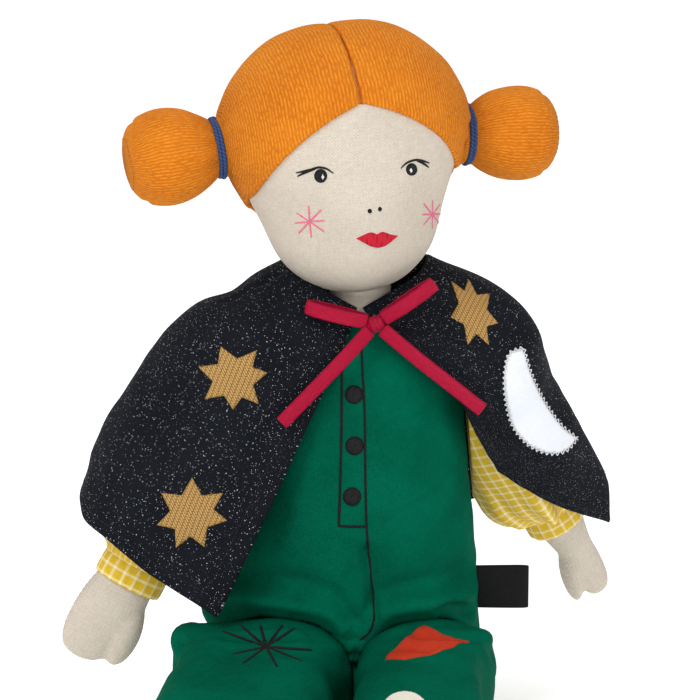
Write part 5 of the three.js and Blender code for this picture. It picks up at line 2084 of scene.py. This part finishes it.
@dataclass
class Leg:
    """One stuffed leg with an upturned foot, in a loose trouser leg."""

    side: Side
    splay: float
    spread: float
    drift: float
    tuck: float
    hip: Triple = (31.2, -44.0, 31.0)
    ball: float = 30.5
    trouser: Pair = (63.0, 64.0)
    hem_radius: float = 25.0
    trouser_length: float = 150.0
    length: float = 176.0
    knee: float = 18.5
    ankle: float = 14.5
    dip: float = 16.0
    foot: Triple = (52.0, 31.0, 29.0)
    wall: float = 1.2
    sheet: Pair = (0.2, 0.185)
    most_cloth: float = 0.037

    @property
    def place(self) -> Array:
        """The hip of this side."""
        return np.array(self.side.at(self.hip))

    def axes(self) -> Array:
        """The leg's width, height and length in the doll's frame."""
        a = math.radians(self.splay)
        return lay_along((self.side.value * math.sin(a), -math.cos(a), 0), (1, 0, 0))

    def _aside(self, along: Array) -> Array:
        """How far the thigh lies to one side, at a distance from the hip."""
        return self.drift * ease(0, 40, along) * ease(150, 80, along)

    def slope(self) -> Array:
        """The turn with which the leg slopes down to its heel."""
        a = math.atan(self.dip / self.trouser_length)
        return np.array([[1, 0, 0], [0, math.cos(a), -math.sin(a)], [0, math.sin(a), math.cos(a)]])

    def hold(self) -> Hold:
        """The torso and the leg, with two places round the hip; the trouser leg is left in place, attached
        to neither.
        """
        x, y, z = self.place
        return Hold("torso", f"{self.side.label}_leg", (x, y + 8, z), (x, y - 40, z))

    def build(self) -> None:
        """Makes the leg, the trouser leg and its motifs."""
        self._skin()
        trouser = self._trouser()
        if self.side is Side.RIGHT:
            self._starburst(Carrier(trouser))
        else:
            self._patches(Carrier(trouser))

    def _skin(self) -> None:
        """Makes the stuffed leg and foot."""
        root, n, k, a = 0.8 * self.ball, self.length, self.knee, self.ankle
        stations = rounds(
            (-0.7 * root, 0), (-0.6 * root, 0.6 * root), (-0.3 * root, 0.92 * root), (0, 0.97 * root),
            (0.2 * n, 1.08 * k), (0.5 * n, k), (0.85 * n, a), (0.95 * n, 0.9 * a), (n, 0),
        )
        leg = tube_net(stations, rows=100, cols=48)
        leg.points[..., 0] += self._aside(leg.points[..., 2])
        leg = leg.placed(self.slope(), (0, 0, 0))
        shape = (
            (-0.5, 0, 0), (-0.42, 0.3, 0.3), (-0.25, 0.46, 0.47), (0.1, 0.5, 0.47),
            (0.32, 0.42, 0.38), (0.45, 0.24, 0.22), (0.5, 0, 0),
        )
        long, _, deep = self.foot
        rise = 0.3 * long - self.dip / self.trouser_length * n
        foot = tube_net(scaled(shape, *self.foot), rows=60, cols=48)
        foot = foot.placed(lay_along((0, 1, -0.12), (1, 0, 0)), (0, rise, n - 0.3 * deep))
        nets = [x.placed(self.axes(), self.place) for x in (leg, foot)]
        for net in nets:
            net.points[..., 2] = np.maximum(net.points[..., 2], 1.7)
        obj = fused(f"leg_{self.side.label}", nets, voxel=1.5, rounds=6)
        axes, place = self.axes(), self.place
        set_cloth(obj, lambda p: np.stack([((p - place) @ axes)[:, 0], p[:, 2] - p[:, 1]], 1))
        nodes = (f"leg_skin_{self.side.label}", f"leg_stuffing_{self.side.label}")
        dress(obj, LINEN, Hold(f"{self.side.label}_leg"), nodes)

    def _trouser(self) -> Object:
        """Makes the trouser leg, creased at the hip, and sews its hem.

        Returns:
            The trouser leg.
        """
        ball, n, d = self.ball, self.trouser_length, self.trouser[1] / 2
        w = (self.trouser[0] + self.spread) / 2
        stations = [
            *rounds((-0.96 * ball, 0.28 * ball), (-0.8 * ball, 0.6 * ball)),
            *rounds((-0.4 * ball, 0.915 * ball), (0, ball)),
            (0.35 * ball, ball, 0.99 * ball),
            (0.2 * n, 0.94 * w, 0.98 * d),
            (0.33 * n, w, d),
            (0.7 * n, 0.96 * w, 0.97 * d),
            (0.95 * n, self.hem_radius + 1.2, self.hem_radius + 0.8),
            (n, self.hem_radius, self.hem_radius),
        ]
        cols, square = 120, 2.25
        net = tube_net(stations, rows=130, cols=cols, square=square)
        along = net.points[..., 2]
        turn = angles(cols)
        s = self.side.value
        c, q = np.cos(turn), np.sin(turn)
        power = 3 + 8 * np.clip(s * c, 0, 1) * np.clip(q, 0, 1)
        c, q = np.abs(c), np.abs(q)
        squarer = (c**square + q**square) ** (1 / square) / (c**power + q**power) ** (1 / power) - 1
        net.points[..., :2] *= (1 + squarer * ease(-16, 4, along) * ease(n, 0.75 * n, along))[..., None]
        outer = ease(0, 12, s * net.points[..., 0]) * ease(-16, 2, along) * ease(36, 12, along)
        net.points[..., 0] *= 1 + (0.95 * w / ball - 1) * outer
        inner = ease(0, -14, s * net.points[..., 0]) * ease(-4, 24, along) * ease(150, 80, along)
        net.points[..., 0] += self._aside(along) + s * self.tuck * inner
        beside = np.clip(self.spread, 0, None) * np.exp(-(((along + 5) / 13) ** 2))
        net.points[..., 0] += s * beside * ease(0.2, 0.8, s * np.cos(turn)) * ease(-0.95, -0.2, np.sin(turn))
        net = net.placed(self.slope(), (0, 0, 0)).placed(self.axes(), self.place)
        seed = 11.0 + 4 * s
        slow, fine = bumps(net.points * [0.6, 1, 1], 20, seed), bumps(net.points, 9, seed + 3)
        net.swell(ease(-5, 20, along) * (1.1 * slow + 0.45 * fine))
        for crease in (
            self._fold(((29, 2, 44), (20, -14, 56), (-4, -16, 61)), 2.0, 3.0, 0.5),
            self._fold(((-27, -8, 46), (-18, -22, 56), (-2, -30, 60)), 1.2, 3.2, 0.4),
            self._side_fold(),
            self._fold(((8, -100, 52), (-8, -112, 52), (-22, -118, 44)), 1.0, 3.6, 0.4),
        ):
            crease.press(net)
        net.points[..., 2] = np.maximum(net.points[..., 2], 0.15)
        trouser = Work().net(net, self.wall).make(f"trousers_{self.side.label}")
        dress(trouser, GREEN, self.hold(), (f"trouser_leg_{self.side.label}",))
        self._hem(net)
        return trouser

    def _fold(self, spots: Sequence[Point], depth: float, width: float, ridge: float) -> Crease:
        """A fold through spots, which are given outwards and backwards from the hip, and by their height."""
        x, y, _ = self.place
        return Crease(tuple((x + self.side.value * a, y + b, z) for a, b, z in spots), depth, width, ridge)

    def _side_fold(self) -> Crease:
        """The fold down the outer side, deep where the trouser leg spreads on the seat.

        Returns:
            The fold.
        """
        if self.spread <= 0:
            return self._fold(((32, -20, 30), (32, -44, 38), (27, -66, 44)), 1.6, 3.6, 0.5)
        s, wide, high = self.side.value, (self.trouser[0] + self.spread) / 2, self.trouser[1] / 2
        line = [(s * (wide + 1 - k), (0.66 - 0.002 * k) * high, 6 + 12 * k) for k in range(-1, 7)]
        placed = np.array(line) @ self.slope().T @ self.axes().T + self.place
        return Crease(tuple(placed), 3.2, 2.2, 0.5)

    def _hem(self, net: Net) -> None:
        """Sews a row of stitches round the hem."""
        needle = Needle().ring(net, int(0.965 * (len(net.points) - 1)), stitch=2.2, gap=0.9, width=0.45)
        needle.sew(f"trouser_hem_{self.side.label}", GREEN_THREAD, Hold(f"{self.side.label}_leg"))

    def _starburst(self, carrier: Carrier) -> None:
        """Embroiders a burst of ten rays on the thigh."""
        burst = Needle(carrier).rays(BURST_MIDDLE, BURST_ENDS, width=1.25, height=0.8, taper=0.25)
        burst.sew("starburst", BLACK_THREAD, self.hold())

    def _patches(self, carrier: Carrier) -> None:
        """Sews a red leaf and a pale round patch on the thigh."""
        for name, outline, grain, cloth in (
            ("leaf_patch", LEAF, 20, RED_PATCH),
            ("round_patch", oval(*ROUND_PATCH, 30), 10, CREAM_PATCH),
        ):
            Needle(carrier).fill(outline, 0.8, grain, roll=0.9).sew(name, cloth, self.hold())


@dataclass
class Cape:
    """One half of the short cape, from its front edge over the arm to the middle of the back."""

    side: Side
    torso: Torso
    arm: Arm
    wall: float = 1.2
    ease_out: float = 2.5
    drop: float = 117.0
    spread: float = 0.485
    back_ease: float = 16.0
    back_gap: float = 0.2
    cap_row: float = -6.18
    collar_ring: float = 15.8
    collar_flare: float = 16.5
    collar_rise: float = 23.0
    neck: Pair = (2.0, 5.56)
    hold_start: Triple = (34.0, 14.0, 160.0)
    hold_x: float = 62.0
    sheet: Pair = (0.19, 0.14)
    most_cloth: float = 0.0266
    hold_depths: Pair = (5.0, -6.0)
    rows: int = 80
    cols: int = 110

    def _collar(self, angle: float) -> Array:
        """A place on the collar.

        Args:
            angle: degrees from the front.

        Returns:
            The place.
        """
        a = math.radians(angle)
        flare = math.sin(a / 2)
        behind = float(ease(95, 150, angle))
        ring = self.collar_ring + self.collar_flare * flare + 8.5 * behind
        x = self.neck[0] + self.side.value * ring * math.sin(a)
        z = self.torso.height + 2 + self.collar_rise * flare - 8.5 * behind
        return np.array([x, self.neck[1] - ring * math.cos(a), z])
    def _over_arm(self, along: float, angle: float, lift: float = 0.0) -> Array:
        """A place over the arm.

        Args:
            along: the distance from the shoulder.
            angle: degrees from the arm's outer side towards the front.
            lift: how far it stands off.

        Returns:
            The place.
        """
        s, aim = self.side.value, unit(np.array(self.arm.aim))
        outward = unit(np.array([s, 0, 0]) - aim * s * aim[0])
        forward = np.array([0.0, -1, 0]) + aim * aim[1]
        forward = unit(forward - outward * (forward @ outward))
        reach = self.arm.sleeve_radius + self.ease_out + lift
        a = math.radians(angle)
        return self.arm.place + aim * along + reach * (outward * math.cos(a) + forward * math.sin(a))

    def _on_chest(self, drop: float, x: float, lift: float = 0.0) -> Array:
        """A place in front of the chest, at a drop from the collar and a distance from the middle."""
        y, deep, z = self._torso_at(drop)
        return np.array([self.side.value * x, y - deep - 2 * self.ease_out - lift, z])

    def _on_back(self, drop: float, x: float, lift: float = 0.0) -> Array:
        """A place behind the back, at a drop from the collar and a distance from the middle."""
        y, deep, z = self._torso_at(drop)
        return np.array([self.side.value * (x + self.back_gap), y + deep + self.back_ease + lift, z])

    def _torso_at(self, drop: float) -> Triple:
        """The torso's middle and half its depth at a drop from the collar, and the height there."""
        z = self.torso.height - drop
        return float(self.torso.axis_at(z)), float(self.torso.halves(z)[1]), z

    def ribs(self) -> list[list[Array]]:
        """Lines from the collar to the hem.

        Returns:
            The lines, from the front edge round to the back edge.
        """
        over, collar = self._over_arm, self._collar

        def edge(share: float) -> Array:
            """A place on the front edge."""
            lift = 5 * float(ease(0.4, 0.75, share))
            return self._on_chest(share * self.drop, self.spread * share * self.drop, lift)

        def on_arm(angle: float, hem: float, lifts: Sequence[float]) -> list[Array]:
            """Places down the arm, from the cap of the shoulder to the hem."""
            rows = (self.cap_row, 0.36 * hem, 0.69 * hem, hem)
            return [over(a, angle, k) for a, k in zip(rows, lifts)]

        def down(xs: Sequence[float], lifts: Sequence[float]) -> list[Array]:
            """Places down the back."""
            places = zip((0.03, 0.28, 0.6, 0.88), xs, lifts)
            return [self._on_back(share * self.drop, x, lift) for share, x, lift in places]

        last = [collar(180), *down((0, 0, 0, 0), (2, 0, 0, 0))]
        last[0][0] = self.side.value * self.back_gap
        if self.side is Side.LEFT:
            return [
                [collar(5), self._on_chest(15, 27, 2), over(-4, 92, 6), over(17, 92, 9), over(43, 97, 3)],
                [collar(65), *on_arm(62, 79, (5, 1, 1.5, 1.5))],
                [collar(85), *on_arm(28, 98, (5, 0, 0, 0))],
                [collar(105), *on_arm(-4, 95, (5, 1, 2, 0))],
                [collar(125), *on_arm(-40, 97, (5, 2, 1, 1))],
                [collar(145), *on_arm(-74, 100, (10, 4, 6, 9))],
                [collar(162), *down((18, 36, 46, 52), (2, 6, 13, 19))],
                last,
            ]
        return [
            [collar(5), edge(0.1), edge(0.4), edge(0.7), edge(1)],
            [collar(40), *on_arm(98, 97, (9, 4, 5, 3))],
            [collar(65), *on_arm(62, 93, (7, 2, 5, 6))],
            [collar(85), *on_arm(28, 91, (4, 7, 9, 6))],
            [collar(105), *on_arm(-4, 82, (3, 12, 13, 9))],
            [collar(125), *on_arm(-40, 83, (4, 9, 11, 7))],
            [collar(145), *down((38, 60, 72, 78), (-4, 2, 8, 12))],
            [collar(162), *down((18, 34, 40, 44), (2, 3, 3, 2))],
            last,
        ]

    def hold(self) -> Hold:
        """The torso and the arm, with two places across the shoulder; the cloth is left in place, attached
        to neither.
        """
        end = (self.hold_x, self.side.pick(self.hold_depths), self.hold_start[2])
        return Hold("torso", f"{self.side.label}_arm", self.side.at(self.hold_start), self.side.at(end))

    def net(self) -> Net:
        """The outside of the cloth.

        Returns:
            The net, with its collar at the first row.
        """
        rails = [catmull(rib, self.rows) for rib in self.ribs()]
        rows = np.array([catmull([rail[j] for rail in rails], self.cols) for j in range(self.rows + 1)])
        if self.side is Side.LEFT:
            rows = rows[:, ::-1]
        net = Net(rows, sheet_cloth(rows))
        along = np.linspace(0, 1, self.rows + 1)[:, None] * np.ones((1, self.cols + 1))
        soft = ease(0.12, 0.45, along)
        seed = 6.0 + self.side.value
        folds = 1.5 * bumps(net.points * [1, 1, 0.4], 22, seed) + 0.5 * bumps(net.points, 9, seed + 4)
        net.swell(0.5 * self.wall + soft * folds)
        if self.side is Side.LEFT:
            self._beak(net, along)
        else:
            self._shoulder_seam(net)
        return net

    def _beak(self, net: Net, along: Array) -> None:
        """Draws the hem's outer corner down to a point.

        Args:
            net: the cloth, which is changed.
            along: each point's share of the way from the collar to the hem.
        """
        away = np.arange(self.cols + 1) - self.cols * 5 / 7
        corner = np.exp(-np.abs(away) / 4.0) * ease(0.72, 1.0, along)
        net.points = net.points + 7.0 * corner[..., None] * unit(np.array(self.arm.aim))

    def _shoulder_seam(self, net: Net) -> None:
        """Presses in the seam along the shoulder, and the dip beside it.

        Args:
            net: the cloth, which is changed.
        """
        top = net.seen(SHOULDER_TOP)
        Crease((top + [4, -16, -8], top, top + [-2, 20, -5]), 2.6, 8.5, 0.1).press(net)
        Crease(net.seen_line(SHOULDER_SEAM), 1.0, 1.9, 0.6).press(net)

    def build(self) -> Object:
        """Makes the cloth, its hem stitches and its motifs.

        Returns:
            The cloth.
        """
        net = self.net()
        cape = Work().net(net, self.wall).make(f"cape_cloth_{self.side.label}")
        dress(cape, NIGHT, self.hold(), (f"cape_{self.side.label}",))
        self._hem(net)
        carrier = Carrier(cape)
        self._stars(carrier)
        if self.side is Side.LEFT:
            self._moon(carrier)
        return cape

    def _hem(self, net: Net) -> None:
        """Sews a row of stitches along the open edges.

        Args:
            net: the cloth.
        """
        p, n = net.points, net.normals()
        needle = Needle()
        for line, out in ((p[-4], n[-4]), (p[4:-3, 3], n[4:-3, 3]), (p[4:-3, -4], n[4:-3, -4])):
            needle.run(line, out, stitch=2.0, gap=0.9, width=0.42)
        needle.sew(f"cape_hem_{self.side.label}", DARK_THREAD, self.hold())

    def _stars(self, carrier: Carrier) -> None:
        """Embroiders this side's gold stars, of seven points each."""
        for number, tips in enumerate(STARS[self.side], 1):
            needle = Needle(carrier).fill(star(tips, notch=0.66), height=0.7, grain=-62, roll=0.7)
            needle.sew(f"gold_star_{self.side.label}_{number}", GOLD_THREAD, self.hold())

    def _moon(self, carrier: Carrier) -> None:
        """Sews a plain white crescent, edged with close stitches.

        Args:
            carrier: the cloth.
        """
        curves = catmull(MOON_OUTER, 40), catmull(MOON_INNER, 30)[1:-1]
        outline = [tuple(p) for p in np.concatenate(curves)]
        moon = Needle(carrier).fill(outline, height=0.7, grain=0, roll=0.9)
        moon.sew("moon_patch", WHITE_PATCH, self.hold())
        edge = Needle(carrier)
        places, normals = carrier.trace(outline + outline[:1], 1.1, False)
        across = np.cross(normals, unit(np.gradient(places, axis=0)))
        for k in range(len(places) - 1):
            here, ahead, out = places[k], places[k + 1], normals[k]
            aside = (1 if k % 2 else -1) * across[k] * 0.9
            line = np.stack([here - aside, (here + ahead) / 2, ahead + aside])
            edge.lay(line + out * 0.55, np.repeat(out[None], 3, 0), 0.5, 0.45)
        edge.sew("moon_edging", WHITE_THREAD, self.hold())


@dataclass
class Bow:
    """The ribbon bow that ties the cape."""

    place: Triple = (8.5, -25.44, 184.0)
    width: float = 6.0
    wall: float = 0.55
    loop: float = 29.0
    tail: float = 56.0

    def _ribbon(self, name: str, path: Sequence[Array], hint: Array, wave: float) -> tuple[Object, Array]:
        """Makes one run of ribbon.

        Args:
            name: the piece's name.
            path: places that its middle passes.
            hint: the direction of its width.
            wave: how far its middle bows out.

        Returns:
            The ribbon and its middle line.
        """
        line = even(catmull(path, 16 * len(path)), 1.0)
        along = unit(np.gradient(line, axis=0))
        across = unit(hint - along * (along @ hint)[:, None])
        through = np.cross(along, across)
        sides = np.linspace(-1, 1, 9)
        crown = wave * (1 - sides**2)
        points = line[:, None] + across[:, None] * (sides[None, :, None] * (self.width - self.wall) / 2)
        points = points + through[:, None] * crown[None, :, None]
        cloth = over_grid(sides * self.width / 2, lengths(line))
        return Work().net(Net(points, cloth), self.wall).make(name), line

    def build(self, holds: dict[Side, Hold]) -> None:
        """Makes the knot, loops and tails.

        Args:
            holds: what the tails move with, on each side.
        """
        self._knot()
        at = np.array(self.place)
        start = 0.6 * self.width + 0.4
        loops = {Side.LEFT: (1, -0.05, 0.72), Side.RIGHT: (-1, 0.06, 0.24)}
        tails = {Side.LEFT: (0.78, -0.2, -0.6), Side.RIGHT: (-0.72, -0.25, -0.72)}
        y = np.array([0.0, 1, 0])
        for side in Side:
            out, gape, near = unit(np.array(loops[side], float)), 0.5 * self.width, start / self.loop
            shape = ((near, -0.15), (0.45, -1), (0.85, -0.8), (1, 0), (0.85, 0.8), (0.45, 1), (near, 0.35))
            path = [at + out * q * self.loop + y * d * gape for q, d in shape]
            loop, _ = self._ribbon(f"ribbon_loop_{side.label}", path, np.cross(out, y), 0.35)
            dress(loop, RED_RIBBON, Hold("torso"), (f"bow_loop_{side.label}",))
            down = unit(np.array(tails[side], float))
            fall = [(start / self.tail, 0), (0.35, -0.04 * self.tail), (0.7, -0.02 * self.tail), (1, 0)]
            path = [at + down * q * self.tail + y * d for q, d in fall]
            tail, line = self._ribbon(f"ribbon_tail_{side.label}", path, np.cross(down, y), 0.3)
            dress(tail, RED_RIBBON, holds[side], (f"bow_tail_{side.label}",))

    def _knot(self) -> None:
        """Makes the knot, a short wrap of ribbon with pleats."""
        half = 0.6 * self.width
        shape = ((-1, 0, 0), (-0.85, 0.6, 0.5), (-0.3, 1, 0.72), (0.3, 1, 0.72), (0.85, 0.6, 0.5), (1, 0, 0))
        net = tube_net(scaled(shape, half, half, half), rows=30, cols=40, square=2.4)
        net = net.placed(lay_along((-0.55, 0, 1), (1, 0, 0.5)), self.place)
        local = net.points - np.array(self.place)
        net.swell(0.22 * np.sin(local[..., 0] * 2.6 + local[..., 2] * 1.1))
        net.cloth = net.cloth - [net.cloth[..., 0].mean(), 0]
        dress(Work().net(net).make("ribbon_knot"), RED_RIBBON, Hold("torso"), ("bow_knot",))


@dataclass
class SideTag:
    """The folded tape in the jumpsuit's side seam."""

    torso: Torso
    length: float = 20.0
    width: float = 18.0
    wall: float = 0.5
    z: float = 64.0
    sewn: float = 5.0
    gap: float = 0.55
    sheet: Pair = (0.018, 0.05)

    def build(self) -> None:
        """Makes the tape, folded at its outer end."""
        x = float(self.torso.halves(self.z - self.width / 2)[0]) + 0.8
        y = float(self.torso.axis_at(self.z))
        n, gap = self.length, self.gap
        fold = [
            (x - self.sewn, -gap), (x + 0.5 * n, -gap - 0.15), (x + n - 1, -gap), (x + n, 0),
            (x + n - 1, gap), (x + 0.5 * n, gap + 0.1), (x - self.sewn, gap),
        ]
        rise = np.linspace(-0.5, 0.5, 24) * self.width
        points = np.array([[(px, y + py, self.z + q) for q in rise] for px, py in catmull(fold, 60)])
        lean = 0.8 * np.sin((points[..., 0] - x) / n * 2.4)
        points[..., 1] += lean * (points[..., 2] - self.z) / self.width
        tag = Work().net(Net(points, sheet_cloth(points)), self.wall).make("folded_tag")
        dress(tag, BLACK_TAPE, Hold("torso"), ("side_tag",))


@dataclass
class Studio:
    """The floor and the soft lights."""

    half_floor: float = 9000.0
    floor_z: float = -0.4

    def build(self) -> None:
        """Puts the floor, the sky and four lamps in the scene."""
        row = np.linspace(-self.half_floor, self.half_floor, 9)
        grid = np.array([[(x, y, self.floor_z) for x in row] for y in row])
        floor = Work().net(Net(grid, sheet_cloth(grid))).make("floor")
        floor.data.materials.append(FLOOR.material())
        world = bpy.data.worlds.new("studio")
        world.use_nodes = True
        nodes = Nodes(world.node_tree)
        glow = world.node_tree.nodes["Background"]
        glow.inputs["Color"].default_value = (1, 1, 1, 1)
        glow.inputs["Strength"].default_value = 0.58
        seen = nodes.add("Background", {"Color": (1, 1, 1, 1), "Strength": 1.0})
        both = nodes.add("MixShader", {"Fac": nodes.add("LightPath").outputs["Is Camera Ray"]})
        nodes.fill(both, {1: glow.outputs[0], 2: seen.outputs[0]})
        nodes.fill(world.node_tree.nodes["World Output"], {"Surface": both.outputs[0]})
        bpy.context.scene.world = world
        bpy.context.scene.view_settings.view_transform = "Standard"
        for name, place, size, power in (
            ("key", (-650, -900, 1200), 600, 9.5),
            ("fill", (900, -900, 600), 900, 3.0),
            ("front", (0, -1400, 260), 900, 3.6),
            ("top", (100, 300, 1300), 800, 3.4),
        ):
            data = bpy.data.lights.new(name, "AREA")
            data.size = size * MM
            data.energy = power
            lamp = bpy.data.objects.new(name, data)
            bpy.context.scene.collection.objects.link(lamp)
            lamp.location = Vector(place) * MM
            lamp.rotation_mode = "QUATERNION"
            lamp.rotation_quaternion = (Vector((0, 0, 140)) - Vector(place)).to_track_quat("-Z", "Y")


def main() -> None:
    """Builds the doll piece by piece."""
    logging.basicConfig(level=logging.INFO, format="%(name)s %(message)s")
    VIEW.make()
    Studio().build()
    torso = Torso()
    torso.build()
    Neck().build()
    Head().build()
    arms = {
        Side.LEFT: Arm(
            Side.LEFT, (0.43, 0.38, -0.815), -30.0, length=152.0, hand=(16.0, 15.0), thumb_back=18.5,
            thumb_side=0.5, thumb_lean=0.24, sleeve_end=93.0, bend=0.0,
        ),
        Side.RIGHT: Arm(
            Side.RIGHT, (-0.47, -0.17, -0.87), 0.0, length=145.5, hand=(27.0, 16.0), sleeve_end=100.0
        ),
    }
    legs = {
        Side.LEFT: Leg(Side.LEFT, splay=0.0, spread=-8.0, drift=-7.0, tuck=0.0),
        Side.RIGHT: Leg(Side.RIGHT, splay=9.0, spread=12.0, drift=0.0, tuck=7.0),
    }
    capes = {side: Cape(side, torso, arms[side]) for side in Side}
    for side in Side:
        arms[side].build(torso)
        legs[side].build()
        capes[side].build()
    Bow().build({Side.LEFT: capes[Side.LEFT].hold(), Side.RIGHT: Hold("torso")})
    SideTag(torso).build()


if __name__ == "__main__":
    main()
